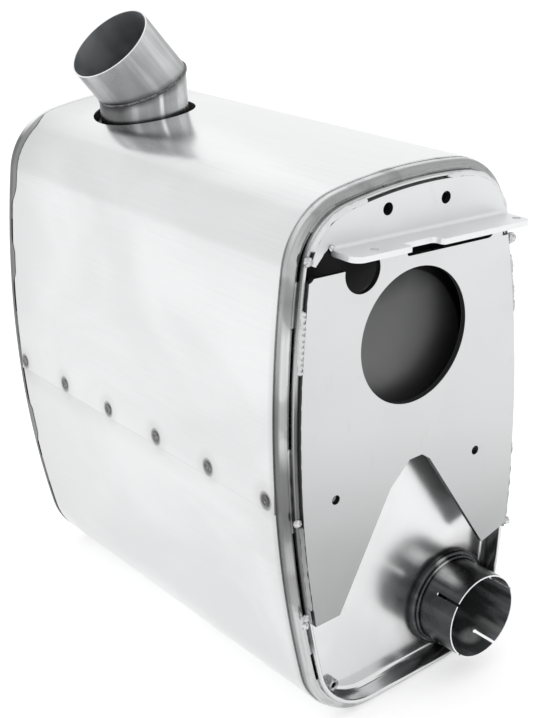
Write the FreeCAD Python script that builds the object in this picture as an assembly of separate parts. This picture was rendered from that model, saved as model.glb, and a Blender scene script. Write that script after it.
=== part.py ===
import FreeCAD, Part
import math
import os

# A heavy vehicle's box muffler. X runs across the box, Y along it from the bracket to the far end, Z up.
# The origin is under the middle of the box, on its flat bottom.

# Outline of the box across its length: a flat bottom, bowed sides and an arched top, joined by round corners
BOX_WIDTH = 341.0
BOX_HEIGHT = 611.0
WIDEST_HEIGHT = 315.0
SIDE_RADIUS = 1250.0
TOP_RADIUS = 570.0
TOP_CORNER_RADIUS = 79.0
BOTTOM_CORNER_RADIUS = 91.5

# Lengths along the box
SHELL_LENGTH = 557.4
JACKET_LENGTH = 520.0

# Outer jacket, a sheet wrapped round the box and closed by a lap that is spot welded
JACKET_SHEET = 1.5
LAP_BOTTOM = 283.0
LAP_WIDTH = 26.0
SPOT_WELD_HEIGHT = 294.0
SPOT_WELD_COUNT = 6
SPOT_WELD_FIRST = -245.6
SPOT_WELD_PITCH = 99.5
SPOT_WELD_RADIUS = 7.0
SPOT_WELD_RISE = 0.6

# Rings that close the space between the jacket and the inner shell
RING_SHEET = 1.2
RING_REACH = 9.0
RING_STANDBACK = 5.7
RING_RADIUS = 7.0
REAR_RING_RADIUS = 5.0
RING_TUCK = 15.0
REAR_SLIT = 4.0

# Lock seam where each end cap folds round the inner shell
SEAM_INSET = 12.0
SEAM_DEPTH = 14.0
CAP_SHEET = 1.5
SHELL_SHEET = 1.5
SEAM_PLAY = 0.25
LIP_RADIUS = 2.2
CAP_RECESS = 22.3
DISH_RADIUS = 9.0

# Stitch welds round the ends, each from one angle to another about the widest point's height, left half
FRONT_STITCHES = ((84.0, 96.0), (108.0, 115.4), (123.3, 131.5), (164.6, 198.4), (227.7, 235.6), (240.8, 252.0))
REAR_STITCHES = ((84.0, 96.0), (112.2, 119.4), (127.3, 134.1), (165.0, 190.0), (225.8, 233.6))
STITCH_DEPTH = 6.0
STITCH_CROWN = 0.6

# Inlet: a slotted socket low on the front, where the exhaust pipe is clamped
INLET_FROM_SIDE = 96.6
INLET_HEIGHT = 78.8
INLET_RADIUS = 50.8
INLET_WALL = 1.8
INLET_REACH = 60.8
INLET_DEPTH = 30.0
INLET_SLOT_WIDTH = 3.4
INLET_SLOT_LENGTH = 30.0
INLET_SLOT_END_RADIUS = 2.4
INLET_SLOT_ANGLES = (140.0, 22.0, -65.0, -136.0)
COLLAR_WIDTH = 7.6
COLLAR_RISE = 8.5
INLET_WELD_LEG = 3.2

# Drain boss low on the front end cap
DRAIN_FROM_SIDE = 66.5
DRAIN_HEIGHT = 43.0
DRAIN_BOSS_RADIUS = 7.0
DRAIN_HOLE_RADIUS = 3.0
DRAIN_BOSS_RISE = 8.0
DRAIN_LIP_RADIUS = 1.8

# Outlet: a stub up through the top, with a tip mitred onto it that leans to the left
OUTLET_X = -26.0
OUTLET_Y = 147.7
OUTLET_RADIUS = 52.5
OUTLET_WALL = 2.0
OUTLET_RISE = 31.0
OUTLET_DEPTH = 40.0
TIP_LEAN = 38.0
TIP_LENGTH = 66.4
TIP_SIZED_LENGTH = 38.0
TIP_SIZED_STEP = 0.2
TIP_SIZED_TAPER = 3.0
JACKET_HOLE_RADIUS = 61.1
MITRE_WELD_WIDTH = 6.0
MITRE_WELD_RISE = 1.6
BASE_WELD_LEG = 5.0

# Inside: two flanged baffles make three chambers, and tubes join them
BAFFLE_SHEET = 1.5
BAFFLE_FLANGE = 18.0
BAFFLE_BEND = 5.0
FRONT_BAFFLE_Y = -95.0
REAR_BAFFLE_Y = 80.0
TUBE_WALL = 1.5
TUBE_PLAY = 0.2
SLEEVE_OVERLAP = 25.0
INLET_TUBE_END_Y = -20.0
TRANSFER_RADIUS = 32.0
TRANSFER_FROM_SIDE = 100.5
TRANSFER_HEIGHTS = (230.0, 380.0)
TRANSFER_START_Y = -125.0
TRANSFER_END_Y = -50.0
RETURN_RADIUS = 40.0
RETURN_FROM_SIDE = 98.5
RETURN_HEIGHT = 170.0
RETURN_START_Y = -130.0
RETURN_END_Y = 110.0
OUTLET_TUBE_END_HEIGHT = 250.0
LOUVRE_LENGTH = 20.0
LOUVRE_WIDTH = 5.0
LOUVRE_PITCH = 32.0
LOUVRES_AROUND = 8
INLET_LOUVRE_ROWS = 3
OUTLET_LOUVRE_ROWS = 7
MAT_CLEARANCE = 0.3

# Bracket: plates across the front end cap, set out from a line that drops slightly to the right
PLATE_THICKNESS = 6.0
PLATE_SEAT = 0.3
SET_OUT_DROP = 63.2
SET_OUT_TILT = 4.18
PLATE_EDGE_RADIUS = 1.0
STRIP_WIDTH = 2.0
STRIP_THICKNESS = 2.0
STRIP_INSET = 12.2
GROOVE_WIDTH = 1.7

# Bent shelf of the upper plate, measured along the set-out line from the middle of the box
SHELF_LEFT_GAP = 62.5
SHELF_RIGHT_GAP = 37.5
SHELF_REACH = 36.0
SHELF_BEND_RADIUS = 4.0
SHELF_LEFT_CORNER = 12.0
SHELF_RIGHT_CORNER = 8.0
SHELF_NOTCH_START = -36.5
SHELF_NOTCH_WIDTH = 36.0
SHELF_NOTCH_DEPTH = 12.5
SHELF_NOTCH_SLOPE = 12.0
SHELF_HOLE_RADIUS = 4.5
SHELF_HOLE_REACH = 22.6
SHELF_HOLE_FROM_LEFT = 35.0
SHELF_HOLE_FROM_RIGHT = 8.2

# Holes of the upper plate, and the ear at its lower left corner, from the box's side and above the set-out height
UPPER_HOLE_RADIUS = 6.5
UPPER_HOLE_MIDDLE = 3.4
UPPER_HOLE_PITCH = 79.2
UPPER_HOLE_RISE = 29.1
LEFT_EAR = (
    (63.0, 12.2), (54.0, 6.2), (52.0, 3.7), (43.2, -4.8), (38.9, -2.3), (10.5, -2.3), (10.5, 27.2), (63.0, 27.2))

# Lower plate, with its big opening, notches, bolt holes and the V that clears the inlet.
# Drops are below the set-out height, and the V's are below the middle of the big opening.
LOWER_EDGE_DROP = 25.0
BIG_HOLE_RADIUS = 73.7
BIG_HOLE_X = 0.7
BIG_HOLE_DROP = 110.9
NOTCH_RADIUS = 23.0
NOTCH_ALONG = -66.0
NOTCH_DROP = 28.7
RELIEF_RADIUS = 9.4
RELIEF_FROM_SIDE = 33.5
RELIEF_DROP = 9.8
SLOT_START_GAP = 163.5
SLOT_DROP = 24.0
SLOT_START_FILLET = 3.0
TONGUE_START_GAP = 52.5
TONGUE_FILLET = 9.0
TONGUE_END_GAP = 39.5
LOWER_HOLE_RADIUS = 5.25
LOWER_HOLE_LEFT_GAP = 78.75
LOWER_HOLE_RIGHT_GAP = 58.35
LOWER_HOLE_DROP = 267.2
V_MIDDLE = -1.5
V_HALF_ANGLE = 31.2
V_POINT_DROP = 108.9
V_TOP_DROP = 139.9
V_TOP_LEFT = -7.0
V_TOP_RIGHT = 11.0
V_LEFT_CHAMFER_DROP = 163.9
V_RIGHT_CHAMFER_DROP = 148.9
LEFT_LEG_HEIGHT = 148.5
RIGHT_LEG_HEIGHT = 151.0
RIGHT_LEG_RISE = 0.26
STRIP_FOOT_HEIGHT = 149.0

# Welds in the groove round the bracket, and the beads at their ends
EDGE_WELD_OUTER_INSET = 12.6
EDGE_WELD_INNER_INSET = 16.9
EDGE_WELD_RISE = 0.6
EDGE_WELD_RADIUS = 3.2

SHELF_BEAD_RADIUS = 4.5
SHELF_BEAD_RISE = 2.5

# Stop for cutters that run past a face, and the tolerance for picking edges
PAST = 1.0
SMALL = 0.01

# Places along Y that several pieces share
FRONT = -SHELL_LENGTH / 2
CAP_FACE = FRONT + CAP_RECESS
RING_FRONT = FRONT + RING_STANDBACK
JACKET_FRONT = -JACKET_LENGTH / 2
PLATE_BACK = FRONT - PLATE_SEAT
PLATE_FACE = PLATE_BACK - PLATE_THICKNESS

# Places across and up the box that follow its width and height
HALF = BOX_WIDTH / 2
INLET_X = HALF - INLET_FROM_SIDE
DRAIN_X = DRAIN_FROM_SIDE - HALF
TRANSFER_X = HALF - TRANSFER_FROM_SIDE
RETURN_X = RETURN_FROM_SIDE - HALF
SET_OUT_HEIGHT = BOX_HEIGHT - SET_OUT_DROP
SHELF_LEFT = SHELF_LEFT_GAP - HALF
SHELF_RIGHT = HALF - SHELF_RIGHT_GAP
SHELF_HOLES = (SHELF_LEFT + SHELF_HOLE_FROM_LEFT, SHELF_RIGHT - SHELF_HOLE_FROM_RIGHT)
SLOT_START = SLOT_START_GAP - HALF
TONGUE_START = HALF - TONGUE_START_GAP
TONGUE_END = HALF - TONGUE_END_GAP
LOWER_HOLES = (LOWER_HOLE_LEFT_GAP - HALF, HALF - LOWER_HOLE_RIGHT_GAP)
BIG_HOLE_HEIGHT = SET_OUT_HEIGHT - BIG_HOLE_DROP
V_POINT_HEIGHT = BIG_HOLE_HEIGHT - V_POINT_DROP

# Welds in the groove, each a box (left, right, low, high) round its stretch
EDGE_WELDS = (
    (-HALF, 70.0 - HALF, 168.0, 273.0),
    (-HALF, 70.0 - HALF, SET_OUT_HEIGHT - 110.8, SET_OUT_HEIGHT - 44.8),
    (-HALF, 113.5 - HALF, SET_OUT_HEIGHT + 8.7, BOX_HEIGHT),
    (HALF - 120.5, HALF, SET_OUT_HEIGHT - 19.8, BOX_HEIGHT),
    (HALF - 70.0, HALF, SET_OUT_HEIGHT - 127.8, SET_OUT_HEIGHT - 57.8),
    (HALF - 70.0, HALF, 165.0, 262.0),
)

# Single beads on the bracket's border: x, height and radius
BEADS = (
    (37.0 - HALF, SET_OUT_HEIGHT + 1.7, 5.5),
    (11.0 - HALF, 278.5, 5.0),
    (17.0 - HALF, 163.0, 4.5),
    (15.5 - HALF, 154.0, 4.5),
    (HALF - 25.0, SET_OUT_HEIGHT - 41.3, 6.5),
    (HALF - 21.0, 160.0, 5.0),
)

# Insets from the box's outline that several pieces share
RING_INSET = JACKET_SHEET + SEAM_PLAY
SHELL_INSET = SEAM_INSET + CAP_SHEET + SEAM_PLAY
CAP_WALL_INSET = SHELL_INSET + SHELL_SHEET + SEAM_PLAY
POCKET_INSET = CAP_WALL_INSET + CAP_SHEET
BAFFLE_INSET = SHELL_INSET + SHELL_SHEET + SEAM_PLAY
STRIP_INNER_INSET = STRIP_INSET + STRIP_WIDTH
PLATE_INSET = STRIP_INNER_INSET + GROOVE_WIDTH
STRIP_FACE = PLATE_BACK - STRIP_THICKNESS

UP = FreeCAD.Vector(0, 0, 1)
BACK = FreeCAD.Vector(0, 1, 0)
ACROSS = FreeCAD.Vector(1, 0, 0)


def circles_meet(first, first_radius, second, second_radius):
    """Right-hand meeting point (x, z) of two circles given by centre and radius."""
    dx = second[0] - first[0]
    dz = second[1] - first[1]
    apart = math.hypot(dx, dz)
    along = (first_radius ** 2 - second_radius ** 2 + apart ** 2) / (2 * apart)
    aside = math.sqrt(first_radius ** 2 - along ** 2)
    x = first[0] + (along * dx - aside * dz) / apart
    z = first[1] + (along * dz + aside * dx) / apart
    other_x = first[0] + (along * dx + aside * dz) / apart
    other_z = first[1] + (along * dz - aside * dx) / apart
    return (x, z) if x > other_x else (other_x, other_z)


def arc(centre, radius, start, end, y):
    """Round edge in the plane y about centre (x, z), from one angle to another in radians."""
    points = []
    for angle in (start, (start + end) / 2, end):
        x = centre[0] + radius * math.cos(angle)
        z = centre[1] + radius * math.sin(angle)
        points.append(FreeCAD.Vector(x, y, z))
    return Part.Arc(*points).toShape()


def outline(inset, y):
    """The box's outline in the plane y, moved inward by inset."""
    side = (BOX_WIDTH / 2 - SIDE_RADIUS, WIDEST_HEIGHT)
    top = (0.0, BOX_HEIGHT - TOP_RADIUS)
    corner = circles_meet(side, SIDE_RADIUS - TOP_CORNER_RADIUS, top, TOP_RADIUS - TOP_CORNER_RADIUS)
    foot_drop = WIDEST_HEIGHT - BOTTOM_CORNER_RADIUS
    foot_x = side[0] + math.sqrt((SIDE_RADIUS - BOTTOM_CORNER_RADIUS) ** 2 - foot_drop ** 2)
    foot = (foot_x, BOTTOM_CORNER_RADIUS)
    side_start = math.atan2(foot[1] - side[1], foot[0] - side[0])
    side_end = math.atan2(corner[1] - side[1], corner[0] - side[0])
    top_start = math.atan2(corner[1] - top[1], corner[0] - top[0])
    right = (
        (foot, BOTTOM_CORNER_RADIUS, -math.pi / 2, side_start),
        (side, SIDE_RADIUS, side_start, side_end),
        (corner, TOP_CORNER_RADIUS, side_end, top_start),
    )
    edges = [Part.makeLine(FreeCAD.Vector(-foot_x, y, inset), FreeCAD.Vector(foot_x, y, inset))]
    for centre, radius, start, end in right:
        edges.append(arc(centre, radius - inset, start, end, y))
    edges.append(arc(top, TOP_RADIUS - inset, top_start, math.pi - top_start, y))
    for centre, radius, start, end in reversed(right):
        mirrored = (-centre[0], centre[1])
        edges.append(arc(mirrored, radius - inset, math.pi - end, math.pi - start, y))
    return Part.Wire(edges)


def block(inset, start, end):
    """Solid with the box's outline moved inward by inset, from one y to another."""
    return Part.Face(outline(inset, start)).extrude(BACK * (end - start))


def band(outer_inset, inner_inset, start, end):
    """Closed band between two insets of the box's outline."""
    return block(outer_inset, start, end).cut(block(inner_inset, start - PAST, end + PAST))


def loop_edges(shape, inset, y):
    """The edges of a shape that lie on one outline."""
    loop = outline(inset, y)
    found = []
    for edge in shape.Edges:
        middle = edge.valueAt((edge.FirstParameter + edge.LastParameter) / 2)
        if abs(middle.y - y) < SMALL and loop.distToShape(Part.Vertex(middle))[0] < SMALL:
            found.append(edge)
    return found


def rounded_block(inset, start, end, radius, loop_y):
    """A block whose loop of edges at loop_y is rounded."""
    solid = block(inset, start, end)
    return solid.makeFillet(radius, loop_edges(solid, inset, loop_y))


def rod(x, z, radius, start, end):
    """Cylinder along Y."""
    return Part.makeCylinder(radius, end - start, FreeCAD.Vector(x, start, z), BACK)


def tube(x, z, radius, wall, start, end):
    """Tube along Y."""
    return rod(x, z, radius, start, end).cut(rod(x, z, radius - wall, start - PAST, end + PAST))


def prism(points, start, end):
    """Solid with straight sides through (x, z) points, from one y to another."""
    corners = [FreeCAD.Vector(x, start, z) for x, z in points]
    return Part.Face(Part.makePolygon(corners + corners[:1])).extrude(BACK * (end - start))


def wedge(first, last, start, end):
    """Wedge between two angles in degrees about the height where the box is widest."""
    reach = BOX_WIDTH + BOX_HEIGHT
    points = [(0.0, WIDEST_HEIGHT)]
    for angle in (first, (first + last) / 2, last):
        turn = math.radians(angle)
        points.append((reach * math.cos(turn), WIDEST_HEIGHT + reach * math.sin(turn)))
    return prism(points, start, end)


def mirrored_x(shape):
    return shape.mirror(FreeCAD.Vector(0, 0, 0), ACROSS)


def to_rear(shape):
    return shape.mirror(FreeCAD.Vector(0, 0, 0), BACK)


def set_out(along, rise):
    """The (x, z) place at a distance along and above the bracket's set-out line."""
    tilt = math.radians(SET_OUT_TILT)
    x = along * math.cos(tilt) + rise * math.sin(tilt)
    z = SET_OUT_HEIGHT - along * math.sin(tilt) + rise * math.cos(tilt)
    return (x, z)


def set_out_prism(points, start, end):
    return prism([set_out(along, rise) for along, rise in points], start, end)


def outer_jacket():
    jacket = band(0.0, JACKET_SHEET, JACKET_FRONT, -JACKET_FRONT)
    jacket = jacket.fuse(lap())
    hole = Part.makeCylinder(JACKET_HOLE_RADIUS, BOX_HEIGHT, FreeCAD.Vector(OUTLET_X, OUTLET_Y, WIDEST_HEIGHT), UP)
    return jacket.cut(hole).removeSplitter()


def side_point(inset, z, y):
    """Point of the left side's bowed face at a height."""
    radius = SIDE_RADIUS - inset
    x = BOX_WIDTH / 2 - SIDE_RADIUS + math.sqrt(radius ** 2 - (z - WIDEST_HEIGHT) ** 2)
    return FreeCAD.Vector(-x, y, z)


def lap():
    """Outer layer of the jacket's seam: a full sheet thick at its lower edge, blending in above."""
    middle = LAP_BOTTOM + LAP_WIDTH / 2
    top = LAP_BOTTOM + LAP_WIDTH
    low = side_point(0.0, LAP_BOTTOM, JACKET_FRONT)
    low_out = side_point(-JACKET_SHEET, LAP_BOTTOM, JACKET_FRONT)
    high = side_point(0.0, top, JACKET_FRONT)
    outer = Part.Arc(low_out, side_point(-JACKET_SHEET / 2, middle, JACKET_FRONT), high).toShape()
    inner = Part.Arc(high, side_point(0.0, middle, JACKET_FRONT), low).toShape()
    face = Part.Face(Part.Wire([Part.makeLine(low, low_out), outer, inner]))
    return face.extrude(BACK * JACKET_LENGTH)


def jacket_spot_welds(jacket):
    """Plug welds in a row along the lap, standing just proud of it."""
    low = side_point(-JACKET_SHEET, SPOT_WELD_HEIGHT, 0.0)
    depth = JACKET_SHEET * 4
    welds = []
    for index in range(SPOT_WELD_COUNT):
        y = SPOT_WELD_FIRST + index * SPOT_WELD_PITCH
        start = FreeCAD.Vector(low.x - SPOT_WELD_RISE, y, SPOT_WELD_HEIGHT)
        disc = Part.makeCylinder(SPOT_WELD_RADIUS, depth, start, ACROSS)
        disc = disc.cut(jacket).cut(block(JACKET_SHEET / 2, JACKET_FRONT - PAST, PAST - JACKET_FRONT))
        welds.append(disc)
    return Part.makeCompound(welds)


def front_rim_ring():
    """Rolled ring tucked under the jacket's front edge and turned in toward the seam."""
    end = JACKET_FRONT + RING_TUCK
    ring = rounded_block(RING_INSET, RING_FRONT, end, RING_RADIUS, RING_FRONT)
    inside = rounded_block(
        RING_INSET + RING_SHEET, RING_FRONT + RING_SHEET, end + PAST, RING_RADIUS - RING_SHEET,
        RING_FRONT + RING_SHEET)
    ring = ring.cut(inside)
    return ring.cut(block(RING_REACH, RING_FRONT - PAST, RING_FRONT + RING_SHEET + PAST))


def rear_rim_ring():
    """Rolled ring behind the jacket, flush with it across a narrow slit."""
    start = REAR_SLIT - JACKET_FRONT
    end = -RING_FRONT
    ring = rounded_block(0.0, start, end, REAR_RING_RADIUS, end)
    inside = rounded_block(
        RING_SHEET, start - PAST, end - RING_SHEET, REAR_RING_RADIUS - RING_SHEET, end - RING_SHEET)
    ring = ring.cut(inside)
    return ring.cut(block(RING_REACH, end - RING_SHEET - PAST, end + PAST))


def stitched(layer, stitches, start, end):
    """The parts of a band within each pair of angles, on both halves."""
    pieces = []
    for first, last in stitches:
        piece = layer.common(wedge(first, last, start, end))
        pieces.append(piece)
        if last < 90 or first > 90 and last < 270:
            pieces.append(mirrored_x(piece))
    return Part.makeCompound(pieces)


def front_rim_welds():
    """Stitch welds that bridge from the front ring to the lock seam."""
    start = RING_FRONT - STITCH_CROWN
    end = RING_FRONT + STITCH_DEPTH
    layer = band(RING_REACH, SEAM_INSET, start, end)
    return stitched(layer, FRONT_STITCHES, start, end)


def rear_rim_welds():
    """Stitch welds that bridge the slit behind the jacket, and those from the rear ring to the lock seam."""
    slit_start = -JACKET_FRONT
    across_slit = band(-STITCH_CROWN, JACKET_SHEET, slit_start, slit_start + REAR_SLIT)
    seam_start = -RING_FRONT - STITCH_DEPTH
    to_seam = band(RING_REACH, SEAM_INSET, seam_start, -RING_FRONT + STITCH_CROWN)
    pieces = stitched(across_slit, REAR_STITCHES, slit_start, slit_start + REAR_SLIT).Solids
    pieces += stitched(to_seam, REAR_STITCHES, seam_start, -RING_FRONT + STITCH_CROWN).Solids
    return Part.makeCompound(pieces)


def dish(play):
    """The hollow of the front end cap, smaller all round its wall by a play."""
    return rounded_block(POCKET_INSET + play, FRONT - PAST, CAP_FACE, DISH_RADIUS - CAP_SHEET, CAP_FACE)


def blank_end_cap():
    """Dished cap at the front, folded round the shell's edge in a lock seam."""
    seam_end = FRONT + SEAM_DEPTH
    cap = rounded_block(SEAM_INSET, FRONT, seam_end, LIP_RADIUS, FRONT)
    cap = cap.fuse(rounded_block(
        CAP_WALL_INSET, FRONT + LIP_RADIUS, CAP_FACE + CAP_SHEET, DISH_RADIUS, CAP_FACE + CAP_SHEET))
    cap = cap.cut(dish(0.0))
    cap = cap.makeFillet(LIP_RADIUS, loop_edges(cap, POCKET_INSET, FRONT))
    groove = band(SEAM_INSET + CAP_SHEET, CAP_WALL_INSET, FRONT + CAP_SHEET, seam_end + PAST)
    return cap.cut(groove)


def front_end_cap():
    end = CAP_FACE + CAP_SHEET + PAST
    cap = blank_end_cap()
    cap = cap.cut(rod(INLET_X, INLET_HEIGHT, INLET_RADIUS + TUBE_PLAY, CAP_FACE - DISH_RADIUS, end))
    return cap.cut(rod(DRAIN_X, DRAIN_HEIGHT, DRAIN_HOLE_RADIUS, CAP_FACE - PAST, end))


def rear_end_cap():
    return to_rear(blank_end_cap())


def stub_rod(radius, low, high):
    return Part.makeCylinder(radius, high - low, FreeCAD.Vector(OUTLET_X, OUTLET_Y, low), UP)


def inner_shell():
    end = -FRONT - CAP_SHEET - SEAM_PLAY
    shell = band(SHELL_INSET, SHELL_INSET + SHELL_SHEET, -end, end)
    return shell.cut(stub_rod(OUTLET_RADIUS + TUBE_PLAY, WIDEST_HEIGHT, BOX_HEIGHT))


def insulation_mat():
    """Wool packed between the shell and the jacket."""
    start = JACKET_FRONT + RING_TUCK + MAT_CLEARANCE
    end = REAR_SLIT - JACKET_FRONT
    mat = band(JACKET_SHEET + MAT_CLEARANCE, SHELL_INSET - MAT_CLEARANCE, start, end)
    return mat.cut(stub_rod(JACKET_HOLE_RADIUS, WIDEST_HEIGHT, BOX_HEIGHT))


def baffle(y, holes):
    """Plate across the shell with a flange turned forward round its edge and a hole for each tube."""
    start = y - BAFFLE_FLANGE
    plate = rounded_block(BAFFLE_INSET, start, y, BAFFLE_BEND, y)
    inside = rounded_block(
        BAFFLE_INSET + BAFFLE_SHEET, start - PAST, y - BAFFLE_SHEET, BAFFLE_BEND - BAFFLE_SHEET, y - BAFFLE_SHEET)
    plate = plate.cut(inside)
    for x, z, radius in holes:
        plate = plate.cut(rod(x, z, radius + TUBE_PLAY, y - BAFFLE_SHEET - PAST, y + PAST))
    return plate


def front_baffle():
    holes = [(INLET_X, INLET_HEIGHT, inlet_tube_radius()), (RETURN_X, RETURN_HEIGHT, RETURN_RADIUS)]
    holes += [(TRANSFER_X, height, TRANSFER_RADIUS) for height in TRANSFER_HEIGHTS]
    return baffle(FRONT_BAFFLE_Y, holes)


def rear_baffle():
    return baffle(REAR_BAFFLE_Y, [(RETURN_X, RETURN_HEIGHT, RETURN_RADIUS)])


def inlet_tube_radius():
    """Outer radius of the tube that fits over the socket's inner end."""
    return INLET_RADIUS + TUBE_PLAY + TUBE_WALL


def louvres(middle, axis, radius, rows):
    """Cutters for rows of slots round a tube: middle is the first row's centre, axis the tube's direction."""
    cutters = []
    for row in range(rows):
        centre = middle + axis * (row * LOUVRE_PITCH)
        for step in range(LOUVRES_AROUND):
            turn = FreeCAD.Rotation(axis, 360.0 * step / LOUVRES_AROUND)
            cutter = Part.makeBox(LOUVRE_WIDTH, LOUVRE_LENGTH, 2 * TUBE_WALL + PAST)
            cutter.translate(FreeCAD.Vector(-LOUVRE_WIDTH / 2, -LOUVRE_LENGTH / 2, radius - 2 * TUBE_WALL))
            if abs(axis.z) > SMALL:
                cutter.rotate(FreeCAD.Vector(0, 0, 0), ACROSS, 90)
            cutter.Placement = FreeCAD.Placement(centre, turn).multiply(cutter.Placement)
            cutters.append(cutter)
    return Part.makeCompound(cutters)


def inlet_tube():
    """Carries the gas through the front chamber to the middle one, with louvres on the way."""
    start = CAP_FACE + INLET_DEPTH - SLEEVE_OVERLAP
    pipe = tube(INLET_X, INLET_HEIGHT, inlet_tube_radius(), TUBE_WALL, start, INLET_TUBE_END_Y)
    first = CAP_FACE + INLET_DEPTH + LOUVRE_LENGTH
    rows = louvres(FreeCAD.Vector(INLET_X, first, INLET_HEIGHT), BACK, inlet_tube_radius(), INLET_LOUVRE_ROWS)
    return pipe.cut(rows)


def transfer_tube(height):
    """Short tube from the middle chamber back to the front one."""
    return tube(TRANSFER_X, height, TRANSFER_RADIUS, TUBE_WALL, TRANSFER_START_Y, TRANSFER_END_Y)


def return_tube():
    """Long tube from the front chamber to the rear one."""
    return tube(RETURN_X, RETURN_HEIGHT, RETURN_RADIUS, TUBE_WALL, RETURN_START_Y, RETURN_END_Y)


def stub_bottom():
    return BOX_HEIGHT - SHELL_INSET - SHELL_SHEET - OUTLET_DEPTH


def outlet_tube():
    """Hangs from the stub in the rear chamber, open below and with louvres along it."""
    radius = OUTLET_RADIUS - OUTLET_WALL - TUBE_PLAY
    top = stub_bottom() + SLEEVE_OVERLAP
    pipe = stub_rod(radius, OUTLET_TUBE_END_HEIGHT, top)
    pipe = pipe.cut(stub_rod(radius - TUBE_WALL, OUTLET_TUBE_END_HEIGHT - PAST, top + PAST))
    first = FreeCAD.Vector(OUTLET_X, OUTLET_Y, OUTLET_TUBE_END_HEIGHT + LOUVRE_LENGTH)
    return pipe.cut(louvres(first, UP, radius, OUTLET_LOUVRE_ROWS))


def inlet_pipe():
    """Slotted socket: each slot runs in from the mouth and ends in a small round hole."""
    mouth = CAP_FACE - INLET_REACH
    pipe = tube(INLET_X, INLET_HEIGHT, INLET_RADIUS, INLET_WALL, mouth, CAP_FACE + INLET_DEPTH)
    axis_point = FreeCAD.Vector(INLET_X, mouth, INLET_HEIGHT)
    height = 3 * INLET_WALL
    for angle in INLET_SLOT_ANGLES:
        slot = Part.makeBox(INLET_SLOT_WIDTH, INLET_SLOT_LENGTH + PAST, height)
        slot.translate(FreeCAD.Vector(-INLET_SLOT_WIDTH / 2, -PAST, INLET_RADIUS - height / 2))
        end = Part.makeCylinder(
            INLET_SLOT_END_RADIUS, height, FreeCAD.Vector(0, INLET_SLOT_LENGTH, INLET_RADIUS - height / 2), UP)
        cutter = slot.fuse(end)
        cutter.Placement = FreeCAD.Placement(axis_point, FreeCAD.Rotation(BACK, 90 - angle))
        pipe = pipe.cut(cutter)
    return pipe


def turned(points, x, z):
    """Ring turned about a line along Y through (x, z), from (radius, y) points joined straight."""
    corners = [FreeCAD.Vector(x + radius, y, z) for radius, y in points]
    face = Part.Face(Part.makePolygon(corners + corners[:1]))
    return face.revolve(FreeCAD.Vector(x, 0, z), BACK, 360)


def inlet_collar():
    """Pressed ring that seats the inlet pipe on the end cap, with a round outer shoulder."""
    bore = INLET_RADIUS + TUBE_PLAY
    outer = bore + COLLAR_WIDTH
    top = CAP_FACE - COLLAR_RISE
    ring = tube(INLET_X, INLET_HEIGHT, outer, COLLAR_WIDTH, top, CAP_FACE)
    shoulder = [edge for edge in ring.Edges
                if abs(edge.BoundBox.YMin - top) < SMALL and abs(edge.BoundBox.YMax - top) < SMALL
                and abs(edge.Curve.Radius - outer) < SMALL]
    ring = ring.makeFillet(COLLAR_WIDTH / 2, shoulder)
    return ring.common(dish(SEAM_PLAY))


def inlet_weld():
    """Fillet weld from the collar to the pipe."""
    top = CAP_FACE - COLLAR_RISE
    inner = INLET_RADIUS + TUBE_PLAY
    points = ((inner, top), (inner + INLET_WELD_LEG, top), (inner, top - INLET_WELD_LEG))
    return turned(points, INLET_X, INLET_HEIGHT).common(dish(SEAM_PLAY))


def drain_boss():
    """Round boss with a rolled lip, close in the dish's corner."""
    top = CAP_FACE - DRAIN_BOSS_RISE
    boss = tube(DRAIN_X, DRAIN_HEIGHT, DRAIN_BOSS_RADIUS, DRAIN_BOSS_RADIUS - DRAIN_HOLE_RADIUS, top, CAP_FACE)
    lip = [edge for edge in boss.Edges if edge.BoundBox.YMax < top + SMALL]
    return boss.makeFillet(DRAIN_LIP_RADIUS, lip).common(dish(SEAM_PLAY))


def mitre_centre():
    return FreeCAD.Vector(OUTLET_X, OUTLET_Y, BOX_HEIGHT + OUTLET_RISE)


def tip_direction():
    return FreeCAD.Rotation(BACK, -TIP_LEAN).multVec(UP)


def mitre_box(low, high):
    """Slab across the outlet, from one height to another above the mitre's plane."""
    span = 8 * OUTLET_RADIUS
    slab = Part.makeBox(span, span, high - low)
    slab.translate(FreeCAD.Vector(-span / 2, -span / 2, low))
    slab.Placement = FreeCAD.Placement(mitre_centre(), FreeCAD.Rotation(BACK, -TIP_LEAN / 2)).multiply(slab.Placement)
    return slab


def stub_part(radius, low):
    """Cylinder of the stub up to the mitre's plane."""
    high = mitre_centre().z + 2 * OUTLET_RADIUS
    return stub_rod(radius, low, high).cut(mitre_box(0.0, 6 * OUTLET_RADIUS))


def tip_part(radius, length):
    """Cylinder of the tip from the mitre's plane."""
    start = mitre_centre() - tip_direction() * (2 * OUTLET_RADIUS)
    whole = Part.makeCylinder(radius, length + 2 * OUTLET_RADIUS, start, tip_direction())
    return whole.cut(mitre_box(-6 * OUTLET_RADIUS, 0.0))


def outlet_stub():
    low = stub_bottom()
    return stub_part(OUTLET_RADIUS, low).cut(stub_part(OUTLET_RADIUS - OUTLET_WALL, low - PAST))


def outlet_tip():
    """Tip whose free end is sized for what goes over it, and tapers to a little less behind that."""
    along = tip_direction()
    behind = OUTLET_RADIUS - TIP_SIZED_STEP
    sized_start = mitre_centre() + along * (TIP_LENGTH - TIP_SIZED_LENGTH)
    sized_end = Part.makeCylinder(OUTLET_RADIUS, TIP_SIZED_LENGTH, sized_start, along)
    taper = Part.makeCone(behind, OUTLET_RADIUS, TIP_SIZED_TAPER, sized_start - along * TIP_SIZED_TAPER, along)
    tip = tip_part(behind, TIP_LENGTH).fuse(taper).fuse(sized_end)
    return tip.cut(tip_part(OUTLET_RADIUS - OUTLET_WALL, TIP_LENGTH + PAST))


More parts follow.
